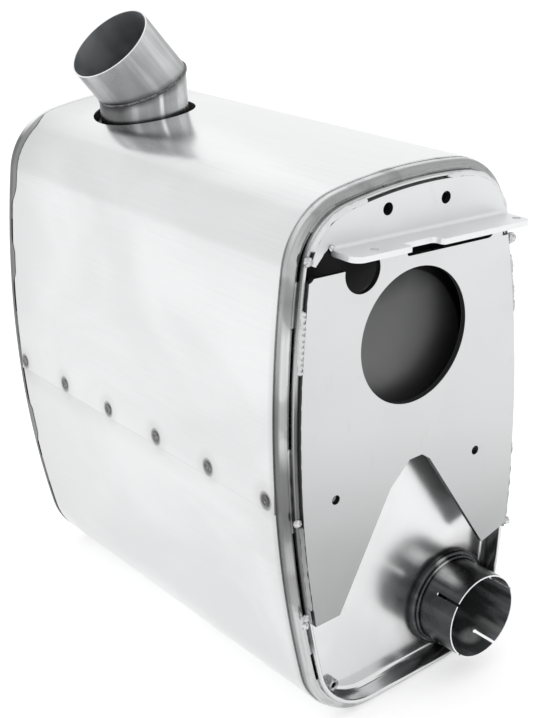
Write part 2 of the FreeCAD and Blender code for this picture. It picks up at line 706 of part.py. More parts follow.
def outlet_mitre_weld():
    """Bead round the mitre, on both pipes."""
    low = BOX_HEIGHT - SHELL_INSET
    outer = stub_part(OUTLET_RADIUS + MITRE_WELD_RISE, low).fuse(tip_part(OUTLET_RADIUS + MITRE_WELD_RISE, TIP_LENGTH))
    ring = outer.common(mitre_box(-MITRE_WELD_WIDTH / 2, MITRE_WELD_WIDTH / 2))
    tip = tip_part(OUTLET_RADIUS - TIP_SIZED_STEP, TIP_LENGTH)
    return ring.cut(stub_part(OUTLET_RADIUS, low)).cut(tip).removeSplitter()


def outlet_base_weld():
    """Weld that holds the stub on the inner shell, inside the jacket's hole."""
    ring = stub_rod(OUTLET_RADIUS + BASE_WELD_LEG, WIDEST_HEIGHT, BOX_HEIGHT)
    ring = ring.cut(stub_rod(OUTLET_RADIUS, WIDEST_HEIGHT - PAST, BOX_HEIGHT + PAST))
    layer = band(SHELL_INSET - BASE_WELD_LEG, SHELL_INSET, JACKET_FRONT, -JACKET_FRONT)
    return ring.common(layer)


def bolt_cutter(along, rise, radius):
    x, z = set_out(along, rise)
    return rod(x, z, radius, PLATE_FACE - PAST, PLATE_BACK + PAST)


def tilted(shape):
    """Moves a shape modelled about the origin along X and Z onto the set-out line."""
    shape.Placement = FreeCAD.Placement(
        FreeCAD.Vector(0, 0, SET_OUT_HEIGHT), FreeCAD.Rotation(BACK, SET_OUT_TILT)).multiply(shape.Placement)
    return shape


def shelf():
    """Bend and shelf of the upper plate, in line with the set-out line: the shelf's top is at height 0."""
    inner = SHELF_BEND_RADIUS
    outer = SHELF_BEND_RADIUS + PLATE_THICKNESS
    bend_y = PLATE_FACE - inner
    reach_y = PLATE_FACE - SHELF_REACH
    diagonal = math.sqrt(0.5)
    start = SHELF_LEFT

    def at(y, z):
        return FreeCAD.Vector(start, y, z)

    section = Part.Wire([
        Part.makeLine(at(PLATE_FACE, inner), at(PLATE_BACK, inner)),
        Part.Arc(at(PLATE_BACK, inner), at(bend_y + outer * diagonal, inner - outer * diagonal),
                 at(bend_y, -PLATE_THICKNESS)).toShape(),
        Part.makeLine(at(bend_y, -PLATE_THICKNESS), at(reach_y, -PLATE_THICKNESS)),
        Part.makeLine(at(reach_y, -PLATE_THICKNESS), at(reach_y, 0)),
        Part.makeLine(at(reach_y, 0), at(bend_y, 0)),
        Part.Arc(at(bend_y, 0), at(bend_y + inner * diagonal, inner - inner * diagonal),
                 at(PLATE_FACE, inner)).toShape(),
    ])
    solid = Part.Face(section).extrude(ACROSS * (SHELF_RIGHT - SHELF_LEFT))
    for x, radius in ((SHELF_LEFT, SHELF_LEFT_CORNER), (SHELF_RIGHT, SHELF_RIGHT_CORNER)):
        corner = [edge for edge in solid.Edges
                  if edge.BoundBox.ZLength > PLATE_THICKNESS - SMALL and edge.BoundBox.YLength < SMALL
                  and abs(edge.BoundBox.YMin - reach_y) < SMALL and abs(edge.BoundBox.XMin - x) < SMALL]
        solid = solid.makeFillet(radius, corner)
    solid = solid.cut(shelf_notch(reach_y))
    for along in SHELF_HOLES:
        low = FreeCAD.Vector(along, PLATE_FACE - SHELF_HOLE_REACH, -PLATE_THICKNESS - PAST)
        solid = solid.cut(Part.makeCylinder(SHELF_HOLE_RADIUS, PLATE_THICKNESS + 2 * PAST, low, UP))
    return solid


def shelf_notch(reach_y):
    """Cutter for the step in the shelf's front edge: square on the left, with a long S curve on the right."""
    left = SHELF_NOTCH_START
    right = left + SHELF_NOTCH_WIDTH
    half_slope = SHELF_NOTCH_SLOPE / 2
    half_depth = SHELF_NOTCH_DEPTH / 2
    bottom = -PLATE_THICKNESS - PAST

    def at(x, depth):
        return FreeCAD.Vector(x, reach_y + depth, bottom)

    bow = SHELF_NOTCH_DEPTH / 8
    upper = Part.Arc(at(right, 2 * half_depth), at(right + half_slope / 2 + bow, 1.5 * half_depth + bow),
                     at(right + half_slope, half_depth)).toShape()
    lower = Part.Arc(at(right + half_slope, half_depth), at(right + 1.5 * half_slope - bow, half_depth / 2 - bow),
                     at(right + 2 * half_slope, 0)).toShape()
    wire = Part.Wire([
        Part.makeLine(at(left, -PAST), at(left, 2 * half_depth)),
        Part.makeLine(at(left, 2 * half_depth), at(right, 2 * half_depth)),
        upper,
        lower,
        Part.makeLine(at(right + 2 * half_slope, 0), at(right + 2 * half_slope, -PAST)),
        Part.makeLine(at(right + 2 * half_slope, -PAST), at(left, -PAST)),
    ])
    return Part.Face(wire).extrude(UP * (PLATE_THICKNESS + 2 * PAST))


def bracket_upper_plate():
    """Top plate of the bracket: its rim follows the box's arch, and its lower edge is bent out into a shelf."""
    plate = rounded_block(PLATE_INSET, PLATE_FACE, PLATE_BACK, PLATE_EDGE_RADIUS, PLATE_FACE)
    ear = [(gap - HALF, SET_OUT_HEIGHT + rise) for gap, rise in LEFT_EAR]
    ear = plate.common(prism(ear, PLATE_FACE, PLATE_BACK))
    reach = BOX_WIDTH
    below = set_out_prism(
        ((-reach, SHELF_BEND_RADIUS), (reach, SHELF_BEND_RADIUS), (reach, -2 * BOX_HEIGHT), (-reach, -2 * BOX_HEIGHT)),
        PLATE_FACE - PAST, PLATE_BACK + PAST)
    plate = plate.cut(below)
    plate = plate.fuse(ear).fuse(tilted(shelf())).removeSplitter()
    half = UPPER_HOLE_PITCH / 2
    for along in (UPPER_HOLE_MIDDLE - half, UPPER_HOLE_MIDDLE + half):
        plate = plate.cut(bolt_cutter(along, UPPER_HOLE_RISE, UPPER_HOLE_RADIUS))
    return plate


def v_edge(height, side):
    """The x of the V's straight edge at a height: side is -1 for left and 1 for right."""
    return V_MIDDLE + side * (V_POINT_HEIGHT - height) * math.tan(math.radians(V_HALF_ANGLE))


def corner_edges(shape, x, z):
    """The edges of a shape that run along Y through (x, z)."""
    return [edge for edge in shape.Edges
            if edge.BoundBox.XLength < SMALL and edge.BoundBox.ZLength < SMALL
            and abs(edge.BoundBox.XMin - x) < SMALL and abs(edge.BoundBox.ZMin - z) < SMALL]


def bracket_lower_plate():
    """Face plate of the bracket: two legs either side of the inlet, open at the middle."""
    start = PLATE_FACE - PAST
    end = PLATE_BACK + PAST
    plate = rounded_block(PLATE_INSET, PLATE_FACE, PLATE_BACK, PLATE_EDGE_RADIUS, PLATE_FACE)
    reach = BOX_WIDTH
    behind_shelf = -PLATE_THICKNESS - PLATE_SEAT
    top = set_out_prism(
        ((-reach, -LOWER_EDGE_DROP), (NOTCH_ALONG, -LOWER_EDGE_DROP), (NOTCH_ALONG, behind_shelf),
         (SLOT_START, behind_shelf), (SLOT_START, -SLOT_DROP), (TONGUE_START, -SLOT_DROP),
         (TONGUE_START, behind_shelf), (TONGUE_END, behind_shelf), (TONGUE_END, -LOWER_EDGE_DROP),
         (reach, -LOWER_EDGE_DROP), (reach, BOX_HEIGHT), (-reach, BOX_HEIGHT)), start, end)
    for along, radius in ((SLOT_START, SLOT_START_FILLET), (TONGUE_START, TONGUE_FILLET)):
        top = top.makeFillet(radius, corner_edges(top, *set_out(along, -SLOT_DROP)))
    plate = plate.cut(top)
    plate = plate.cut(rod(BIG_HOLE_X, BIG_HOLE_HEIGHT, BIG_HOLE_RADIUS, start, end))
    notch_x, notch_z = set_out(NOTCH_ALONG, -NOTCH_DROP)
    plate = plate.cut(rod(notch_x, notch_z, NOTCH_RADIUS, start, end))
    plate = plate.cut(rod(RELIEF_FROM_SIDE - HALF, SET_OUT_HEIGHT - RELIEF_DROP, RELIEF_RADIUS, start, end))
    for along in LOWER_HOLES:
        plate = plate.cut(bolt_cutter(along, -LOWER_HOLE_DROP, LOWER_HOLE_RADIUS))
    v_top = BIG_HOLE_HEIGHT - V_TOP_DROP
    left_chamfer = BIG_HOLE_HEIGHT - V_LEFT_CHAMFER_DROP
    right_chamfer = BIG_HOLE_HEIGHT - V_RIGHT_CHAMFER_DROP
    left_tip = v_edge(LEFT_LEG_HEIGHT, -1)
    right_tip = v_edge(RIGHT_LEG_HEIGHT, 1)
    clearance = prism(
        ((-reach, LEFT_LEG_HEIGHT), (left_tip, LEFT_LEG_HEIGHT),
         (v_edge(left_chamfer, -1), left_chamfer), (V_TOP_LEFT, v_top),
         (V_TOP_RIGHT, v_top), (v_edge(right_chamfer, 1), right_chamfer),
         (right_tip, RIGHT_LEG_HEIGHT), (reach, RIGHT_LEG_HEIGHT + (reach - right_tip) * RIGHT_LEG_RISE),
         (reach, -BOX_HEIGHT), (-reach, -BOX_HEIGHT)), start, end)
    return plate.cut(clearance)


def bracket_edge_strip():
    """Thin strip on the lock seam all round the bracket, from the foot of one leg to the foot of the other."""
    strip = band(STRIP_INSET, STRIP_INNER_INSET, STRIP_FACE, PLATE_BACK)
    reach = BOX_WIDTH
    below = prism(
        ((-reach, -BOX_HEIGHT), (reach, -BOX_HEIGHT), (reach, STRIP_FOOT_HEIGHT), (-reach, STRIP_FOOT_HEIGHT)),
        STRIP_FACE - PAST, PLATE_BACK + PAST)
    return strip.cut(below)


def bracket_edge_welds(upper_plate):
    """Fillet welds that fill the groove between the strip and the plates and round over onto the plates."""
    front = PLATE_FACE - EDGE_WELD_RISE
    bead = rounded_block(EDGE_WELD_OUTER_INSET, front, STRIP_FACE, EDGE_WELD_RADIUS, front)
    bead = bead.cut(block(EDGE_WELD_INNER_INSET, front - PAST, STRIP_FACE + PAST))
    bead = bead.fuse(band(STRIP_INNER_INSET, PLATE_INSET, STRIP_FACE, PLATE_BACK))
    bead = bead.cut(block(PLATE_INSET, PLATE_FACE, PLATE_BACK + PAST))
    welds = []
    for left, right, low, high in EDGE_WELDS:
        window = prism(((left, low), (right, low), (right, high), (left, high)), front - PAST, PLATE_BACK + PAST)
        welds += bead.common(window).cut(upper_plate).Solids
    return Part.makeCompound(welds)


def bracket_bead_welds(welds):
    """Domed beads at the ends of the welds and on the ears, standing on the strip and against the plates."""
    plates = block(PLATE_INSET, PLATE_FACE, PLATE_BACK)
    beads = []
    for x, z, radius in BEADS:
        base = FreeCAD.Vector(x, STRIP_FACE, z)
        dome = Part.makeSphere(radius, base, FreeCAD.Vector(0, -1, 0), 0, 90, 360)
        beads += dome.cut(plates).cut(welds).Solids
    return Part.makeCompound(beads)


def shelf_end_weld(plate):
    """Bead where the shelf's left end turns out of the upper plate."""
    x, z = set_out(SHELF_LEFT, SHELF_BEND_RADIUS / 2)
    bead = Part.makeSphere(SHELF_BEAD_RADIUS, FreeCAD.Vector(x, PLATE_FACE - SHELF_BEAD_RISE, z))
    bead = bead.cut(plate)
    return max(bead.Solids, key=lambda solid: solid.Volume)


def parts():
    """Every node by name, with its shape."""
    jacket = outer_jacket()
    upper_plate = bracket_upper_plate()
    edge_welds = bracket_edge_welds(upper_plate)
    nodes = {
        "outer_jacket": jacket,
        "jacket_spot_welds": jacket_spot_welds(jacket),
        "front_rim_ring": front_rim_ring(),
        "rear_rim_ring": rear_rim_ring(),
        "front_rim_welds": front_rim_welds(),
        "rear_rim_welds": rear_rim_welds(),
        "insulation_mat": insulation_mat(),
        "inner_shell": inner_shell(),
        "front_end_cap": front_end_cap(),
        "rear_end_cap": rear_end_cap(),
        "front_baffle": front_baffle(),
        "rear_baffle": rear_baffle(),
        "inlet_tube": inlet_tube(),
        "return_tube": return_tube(),
        "outlet_tube": outlet_tube(),
        "inlet_pipe": inlet_pipe(),
        "inlet_collar": inlet_collar(),
        "inlet_weld": inlet_weld(),
        "drain_boss": drain_boss(),
        "outlet_stub": outlet_stub(),
        "outlet_tip": outlet_tip(),
        "outlet_mitre_weld": outlet_mitre_weld(),
        "outlet_base_weld": outlet_base_weld(),
        "bracket_upper_plate": upper_plate,
        "bracket_lower_plate": bracket_lower_plate(),
        "bracket_edge_strip": bracket_edge_strip(),
        "bracket_edge_welds": edge_welds,
        "bracket_bead_welds": bracket_bead_welds(edge_welds),
        "shelf_end_weld": shelf_end_weld(upper_plate),
    }
    for index, height in enumerate(TRANSFER_HEIGHTS):
        nodes[f"transfer_tube_{index + 1}"] = transfer_tube(height)
    return nodes


os.makedirs("parts", exist_ok=True)
for name, shape in parts().items():
    if not shape.isValid():
        raise ValueError(f"{name} isn't a valid shape")
    shape.exportStep(f"parts/{name}.step")
    print(f"{name}: {len(shape.Solids)} solid(s), {shape.Volume / 1000:.1f} cm3")
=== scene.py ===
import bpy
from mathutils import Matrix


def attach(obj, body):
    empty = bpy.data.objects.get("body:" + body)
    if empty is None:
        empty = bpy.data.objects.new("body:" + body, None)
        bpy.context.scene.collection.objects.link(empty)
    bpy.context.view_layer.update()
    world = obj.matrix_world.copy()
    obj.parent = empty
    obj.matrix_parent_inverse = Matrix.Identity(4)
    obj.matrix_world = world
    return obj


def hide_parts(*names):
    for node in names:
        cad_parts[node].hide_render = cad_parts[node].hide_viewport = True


bl_info = {
    "name": "Box muffler",
    "version": (1, 0, 0),
    "blender": (4, 5, 0),
    "location": "View3D > Sidebar > Muffler",
    "description": "Builds the visible skin, pipes, bracket and welds of a heavy vehicle's box muffler",
    "category": "Object",
}

import math

import bmesh
import bpy
from mathutils import Matrix, Vector, noise

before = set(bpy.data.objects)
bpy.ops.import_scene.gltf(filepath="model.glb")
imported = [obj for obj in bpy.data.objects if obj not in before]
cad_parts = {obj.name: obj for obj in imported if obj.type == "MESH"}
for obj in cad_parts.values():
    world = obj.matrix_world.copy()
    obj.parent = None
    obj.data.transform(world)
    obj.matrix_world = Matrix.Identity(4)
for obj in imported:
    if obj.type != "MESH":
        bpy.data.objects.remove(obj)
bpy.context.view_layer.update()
MM = 0.001

# Outline of the box, in millimetres as in the frame
BOX_WIDTH = 341.0
BOX_HEIGHT = 611.0
HALF = BOX_WIDTH / 2
WIDEST_HEIGHT = 315.0
SIDE_RADIUS = 1250.0
SIDE_CENTRE = (HALF - SIDE_RADIUS, WIDEST_HEIGHT)
TOP_RADIUS = 570.0
TOP_CENTRE = (0.0, BOX_HEIGHT - TOP_RADIUS)
TOP_CORNER_RADIUS = 79.0
BOTTOM_CORNER_RADIUS = 91.5

# Places along the length, front is negative
CAP_FACE = -256.4
JACKET_FRONT = -260.0
RING_FRONT = -273.0
PLATE_BACK = -279.0
STRIP_FACE = -281.0
PLATE_FACE = -285.0

# Sheets, and how far the border strip's outer edge lies inside the outline
JACKET_SHEET = 1.5
CAP_SHEET = 1.5
RING_SHEET = 1.2
STRIP_INSET = 12.2
STRIP_WIDTH = 2.0
STRIP_FOOT = 149.0

# Inlet socket, its sawn slots and its collar
INLET = (73.9, 78.8)
INLET_RADIUS = 50.8
INLET_WALL = 1.8
INLET_MOUTH = CAP_FACE - 60.8
SLOT_ANGLES = (140.0, 22.0, -65.0, -136.0)
SLOT_WIDTH = 3.4
SLOT_LENGTH = 30.0
SLOT_END_RADIUS = 2.4
COLLAR_GAP = 0.2
COLLAR_WALL = 7.6
COLLAR_BEND = 3.8
COLLAR_FRONT = CAP_FACE - 8.5
SEAT = 0.05

# Drain bush: place and radius of its bore
DRAIN = (-104.0, 43.0)
DRAIN_BORE = 3.0

# Outlet, mitred from two lengths
OUTLET = (-26.0, 147.7)
OUTLET_RADIUS = 52.5
OUTLET_WALL = 2.0
MITRE_HEIGHT = 642.0
TIP_LEAN = 38.0
TIP_LENGTH = 66.4
SHELL_DROP = 15.25
STUB_DIP = 40.0
JACKET_HOLE_RADIUS = 61.1
SAWN_BEVEL = 0.3

# The jacket's seam and its spot welds
LAP_BOTTOM = 283.0
LAP_TOP = 309.0
SPOT_HEIGHT = 294.0
SPOT_FIRST = -245.6
SPOT_PITCH = 99.5
SPOT_COUNT = 6

# Stretches where the rear ring laps wider over the jacket, each (first angle, last angle, how far)
REAR_LAPS = ((109.0, 131.0, 11.0), (139.0, 154.0, 7.0), (205.0, 222.0, 7.0))
LAP_EASE = 4.0
LAP_LIFT = 0.7

# Stitches between the rings and the box, each (first angle, last angle)
FRONT_STITCHES = (
    (84.0, 96.0), (108.0, 115.4), (123.3, 131.5), (164.6, 198.4), (227.7, 235.6), (240.8, 252.0))
REAR_STITCHES = ((84.0, 96.0), (112.2, 119.4), (127.3, 134.1), (165.0, 190.0), (225.8, 233.6))
STITCH_INSET = 10.4
SLIT_PLACE = 262.0
SLIT_LIMIT = 0.75

# Weld runs of the border: left, right, low and high edge, then the bead's inset, width, rise and ripple
BORDER_RUNS = (
    (-HALF, 70.0 - HALF, 168.0, 273.0, 15.3, 5.6, 3.5, 0.03),
    (-HALF, 70.0 - HALF, 437.0, 503.0, 15.0, 5.6, 4.6, 0.30),
    (-HALF, 113.5 - HALF, 556.5, BOX_HEIGHT, 15.2, 6.4, 4.4, 0.03),
    (HALF - 120.5, HALF, 528.0, BOX_HEIGHT, 15.2, 6.4, 4.4, 0.03),
    (HALF - 70.0, HALF, 420.0, 490.0, 15.0, 5.2, 4.0, 0.22),
    (HALF - 70.0, HALF, 165.0, 262.0, 15.3, 5.6, 3.5, 0.03),
)

# Camera, with the photo's height and its focal length in pixels
PHOTO_HEIGHT = 718.0
FOCAL_PIXELS = 1355.13
CENTRE_SHIFT = -1.7
CAMERA_PLACE = (-893.3, -1211.3, 968.7)
CAMERA_AZIMUTH = -37.19
CAMERA_ELEVATION = 23.19
CAMERA_ROLL = -2.889


# Outline of the box
def circles_meet(first, first_radius, second, second_radius):
    """Right-hand meeting point (x, z) of two circles."""
    dx = second[0] - first[0]
    dz = second[1] - first[1]
    apart = math.hypot(dx, dz)
    along = (first_radius ** 2 - second_radius ** 2 + apart ** 2) / (2 * apart)
    aside = math.sqrt(first_radius ** 2 - along ** 2)
    return max((first[0] + (along * dx - way * dz) / apart, first[1] + (along * dz + way * dx) / apart)
               for way in (aside, -aside))


def outline(spacing, extra=()):
    """The outline as (x, z, outward x, outward z), anticlockwise from the middle of the flat bottom."""
    corner = circles_meet(
        SIDE_CENTRE, SIDE_RADIUS - TOP_CORNER_RADIUS, TOP_CENTRE, TOP_RADIUS - TOP_CORNER_RADIUS)
    foot_drop = WIDEST_HEIGHT - BOTTOM_CORNER_RADIUS
    foot = (SIDE_CENTRE[0] + math.sqrt((SIDE_RADIUS - BOTTOM_CORNER_RADIUS) ** 2 - foot_drop ** 2),
            BOTTOM_CORNER_RADIUS)
    side_start = math.atan2(foot[1] - SIDE_CENTRE[1], foot[0] - SIDE_CENTRE[0])
    side_end = math.atan2(corner[1] - SIDE_CENTRE[1], corner[0] - SIDE_CENTRE[0])
    top_start = math.atan2(corner[1] - TOP_CENTRE[1], corner[0] - TOP_CENTRE[0])
    steps = max(2, round(foot[0] / spacing))
    right = [(foot[0] * index / steps, 0.0, 0.0, -1.0) for index in range(steps)]
    arcs = (
        (foot, BOTTOM_CORNER_RADIUS, -math.pi / 2, side_start),
        (SIDE_CENTRE, SIDE_RADIUS, side_start, side_end),
        (corner, TOP_CORNER_RADIUS, side_end, top_start),
        (TOP_CENTRE, TOP_RADIUS, top_start, math.pi / 2),
    )
    for centre, radius, start, end in arcs:
        steps = max(3, round(radius * (end - start) / min(spacing, radius / 8)))
        for index in range(steps):
            angle = start + (end - start) * index / steps
            out_x, out_z = math.cos(angle), math.sin(angle)
            right.append((centre[0] + radius * out_x, centre[1] + radius * out_z, out_x, out_z))
    left = [(-x, z, -out_x, out_z) for x, z, out_x, out_z in reversed(right[1:])]
    points = right + [(0.0, BOX_HEIGHT, 0.0, 1.0)] + left
    for z in extra:
        angle = math.asin((z - SIDE_CENTRE[1]) / SIDE_RADIUS)
        point = (-SIDE_CENTRE[0] - SIDE_RADIUS * math.cos(angle), z, -math.cos(angle), math.sin(angle))
        place = next(i for i, p in enumerate(points) if p[0] < -100 and p[1] < z)
        points.insert(place, point)
    return points


def inset_point(point, inset, y):
    return Vector((point[0] - point[2] * inset, y, point[1] - point[3] * inset)) * MM


def run_of_outline(inset, spacing, inside):
    """Outline points (place, outward direction) at an inset for which inside(x, z) holds, in order."""
    run = []
    for x, z, out_x, out_z in outline(spacing):
        x -= out_x * inset
        z -= out_z * inset
        if inside(x, z):
            run.append((x, z, out_x, out_z))
    return run


def polar(x, z):
    return math.degrees(math.atan2(z - WIDEST_HEIGHT, x)) % 360.0


def rounded(corner, radius, start, end, steps):
    """Points (inset, y) of an arc about a centre, angles in degrees from the inset direction."""
    points = []
    for index in range(steps + 1):
        angle = math.radians(start + (end - start) * index / steps)
        points.append((corner[0] + radius * math.cos(angle), corner[1] + radius * math.sin(angle)))
    return points


# Meshes
def meshed(name, bm):
    """The bmesh as a mesh; the bmesh is freed."""
    mesh = bpy.data.meshes.new(name)
    bm.to_mesh(mesh)
    bm.free()
    return mesh


def linked(name, data):
    """A new object in the scene."""
    item = bpy.data.objects.new(name, data)
    bpy.context.scene.collection.objects.link(item)
    return item


def loft(rings, closed=False):
    """Skin through rings of points: a circle of vertices is extruded from each ring onto the next."""
    bm = bmesh.new()
    loop = bmesh.ops.create_circle(bm, segments=len(rings[0]), radius=1.0)["verts"]
    bm.edges.ensure_lookup_table()
    edges = list(bm.edges)
    ordered = [loop[0]]
    while len(ordered) < len(loop):
        beside = [e.other_vert(ordered[-1]) for e in ordered[-1].link_edges]
        ordered.append(next(v for v in beside if v not in ordered[-2:]))
    loop = ordered
    for vertex, place in zip(loop, rings[0]):
        vertex.co = place
    first = loop
    for ring in rings[1:]:
        made = bmesh.ops.extrude_edge_only(bm, edges=edges)["geom"]
        fresh = {item for item in made if isinstance(item, bmesh.types.BMVert)}
        edges = [item for item in made if isinstance(item, bmesh.types.BMEdge)
                 and item.verts[0] in fresh and item.verts[1] in fresh]
        loop = [next(e.other_vert(v) for e in v.link_edges if e.other_vert(v) in fresh) for v in loop]
        for vertex, place in zip(loop, ring):
            vertex.co = place
    if closed:
        first_edges = [e for v in first for e in v.link_edges if e.other_vert(v) in set(first)]
        bmesh.ops.bridge_loops(bm, edges=list(set(first_edges)) + edges)
    else:
        for end in (first, loop):
            bmesh.ops.contextual_create(bm, geom=list(end))
    return bm


def lathe(profile, centre, direction, segments=96):
    """Ring turned about an axis, from (radius, along) points of a closed section."""
    along = Vector(direction).normalized()
    side = along.orthogonal().normalized()
    other = along.cross(side)
    rings = []
    for index in range(segments):
        angle = 2 * math.pi * index / segments
        out = side * math.cos(angle) + other * math.sin(angle)
        rings.append([(Vector(centre) + out * radius + along * place) * MM for radius, place in profile])
    return loft(rings, closed=True)


def rod(centre, direction, radius, low, high, segments=64):
    """Closed cylinder for cutting, from one distance to another along its axis."""
    bm = bmesh.new()
    along = Vector(direction).normalized()
    turn = Vector((0, 0, 1)).rotation_difference(along).to_matrix().to_4x4()
    middle = (Vector(centre) + along * (low + high) / 2) * MM
    bmesh.ops.create_cone(bm, cap_ends=True, segments=segments, radius1=radius * MM, radius2=radius * MM,
                          depth=(high - low) * MM)
    bmesh.ops.transform(bm, matrix=Matrix.Translation(middle) @ turn, verts=bm.verts)
    return bm


def cut(bm, cutters):
    """Takes closed cutter meshes out of a mesh."""
    solids = []
    for solid in [bm] + cutters:
        solid.normal_update()
        bmesh.ops.recalc_face_normals(solid, faces=solid.faces)
        solids.append(linked("solid", meshed("solid", solid)))
    body = solids[0]
    for tool in solids[1:]:
        step = body.modifiers.new("cut", "BOOLEAN")
        step.operation = "DIFFERENCE"
        step.solver = "EXACT"
        step.object = tool
    bpy.context.view_layer.update()
    result = bpy.data.meshes.new_from_object(body.evaluated_get(bpy.context.evaluated_depsgraph_get()))
    carved = bmesh.new()
    carved.from_mesh(result)
    for mesh in [result] + [solid.data for solid in solids]:
        bpy.data.meshes.remove(mesh)
    return carved


def merged_copy(node):
    """The node's triangles joined up and its flat faces made whole."""
    bm = bmesh.new()
    bm.from_mesh(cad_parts[node].data)
    bmesh.ops.remove_doubles(bm, verts=bm.verts, dist=2e-6)
    bmesh.ops.dissolve_limit(bm, angle_limit=math.radians(0.4), verts=bm.verts, edges=bm.edges)
    return bm


def joined(parts):
    """One mesh from several."""
    whole = bmesh.new()
    for part in parts:
        mesh = meshed("part", part)
        whole.from_mesh(mesh)
        bpy.data.meshes.remove(mesh)
    return whole


def finished(name, bm, coat, smooth, node, second=None, chosen=None):
    """Turns a mesh into a piece that stands for a node: the faces that are chosen get a second material."""
    bmesh.ops.remove_doubles(bm, verts=bm.verts, dist=1e-6)
    bm.normal_update()
    bmesh.ops.recalc_face_normals(bm, faces=bm.faces)
    mesh = meshed(name, bm)
    piece = linked(name, mesh)
    mesh.materials.append(finish(coat))
    mesh.shade_smooth()
    mesh.set_sharp_from_angle(angle=math.radians(smooth))
    if second:
        mesh.materials.append(finish(second))
        for face in mesh.polygons:
            face.material_index = 1 if chosen(face) else 0
    even = piece.modifiers.new("even", "WEIGHTED_NORMAL")
    even.keep_sharp = True
    even.weight = 50
    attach(piece, "root")
    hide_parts(node)


# Weld beads
def rippled(distance, angle, bow, pitch, ripple):
    """How far a point of a bead lies from one ripple to the next, and how much the ripple lifts it."""
    share = (distance / pitch + bow * math.cos(angle) ** 2) % 1.0
    return share, 1 - ripple + 2 * ripple * (1 - share) ** 0.7


def tapered(run, width, seed):
    """For each point of a run: its distance, the taper towards both ends and the uneven thickness."""
    distances = [0.0]
    for before, after in zip(run, run[1:]):
        distances.append(distances[-1] + math.hypot(after[0] - before[0], after[1] - before[1]))
    for distance in distances:
        end = min(distance, distances[-1] - distance) / (width * 0.6)
        taper = math.sqrt(max(0.02, 1 - (1 - min(1.0, end)) ** 2))
        yield distance, taper, 1 + 0.28 * noise.noise(Vector((distance * 0.13, seed + 7.0, 3.0)))


def weld_bead(run, y, width, rise, depth, pitch, seed, ripple, facing=-1.0, slit=False):
    """Rippled bead on a run of points in the plane y; it rises along Y, or outward where it fills a slit."""
    rings = []
    for (x, z, out_x, out_z), (distance, taper, fat) in zip(run, tapered(run, width, seed)):
        wander = noise.noise(Vector((distance * 0.09, seed, 0.0))) * width * 0.16
        ring = []
        for step in range(14):
            angle = 2 * math.pi * step / 14
            up = math.sin(angle)
            share, lift = rippled(distance, angle, 0.55, pitch, ripple)
            height = up * rise * taper * fat * lift if up > 0 else up * depth
            across = -math.cos(angle) * width / 2 * taper * fat
            if slit:
                out, along = min(height, SLIT_LIMIT), across
            else:
                out, along = across * (0.94 + 0.08 * (1 - share)) + wander, facing * height
            ring.append(Vector((x + out_x * out, y + along, z + out_z * out)) * MM)
        rings.append(ring)
    return loft(rings)


# Node materials
def forward(operation):
    return lambda self, other: self.math(operation, self, other)


def reflected(operation):
    return lambda self, other: self.math(operation, other, self)


class Value:
    """A socket in a material, on which arithmetic adds Math nodes."""
    __add__, __radd__ = forward("ADD"), reflected("ADD")
    __sub__, __rsub__ = forward("SUBTRACT"), reflected("SUBTRACT")
    __mul__, __rmul__ = forward("MULTIPLY"), reflected("MULTIPLY")
    __truediv__, __rtruediv__ = forward("DIVIDE"), reflected("DIVIDE")
    __pow__, __rpow__ = forward("POWER"), reflected("POWER")
    high = forward("MAXIMUM")

    def __init__(self, nodes, socket):
        self.nodes = nodes
        self.socket = socket

    def math(self, operation, *values):
        return self.nodes.node("ShaderNodeMath", {"operation": operation}, dict(enumerate(values)))

    def __abs__(self):
        return self.math("ABSOLUTE", self)

    def steps(self):
        return self.math("ROUND", self)


class Nodes:
    """The nodes of a material or a world, which are added one at a time."""

    def __init__(self, owner):
        owner.use_nodes = True
        self.tree = owner.node_tree
        self.tree.nodes.clear()

    def node(self, kind, settings=None, inputs=None, output=0):
        node = self.tree.nodes.new(kind)
        for key, value in (settings or {}).items():
            if key == "stops":
                for stop in node.color_ramp.elements[1:]:
                    node.color_ramp.elements.remove(stop)
                for index, (place, colour) in enumerate(value):
                    stop = node.color_ramp.elements[0] if index == 0 else node.color_ramp.elements.new(place)
                    stop.position = place
                    stop.color = colour
            else:
                setattr(node, key, value)
        for key, value in (inputs or {}).items():
            if isinstance(value, Value):
                self.tree.links.new(value.socket, node.inputs[key])
            else:
                node.inputs[key].default_value = value
        return Value(self, node.outputs[output]) if node.outputs else None

    def seen(self):
        """1 for camera, mirror and glass rays, 0 for the light that falls on things."""
        camera, mirror, glass = (self.node("ShaderNodeLightPath", output=ray)
                                 for ray in ("Is Camera Ray", "Is Glossy Ray", "Is Transmission Ray"))
        return camera.high(mirror).high(glass)


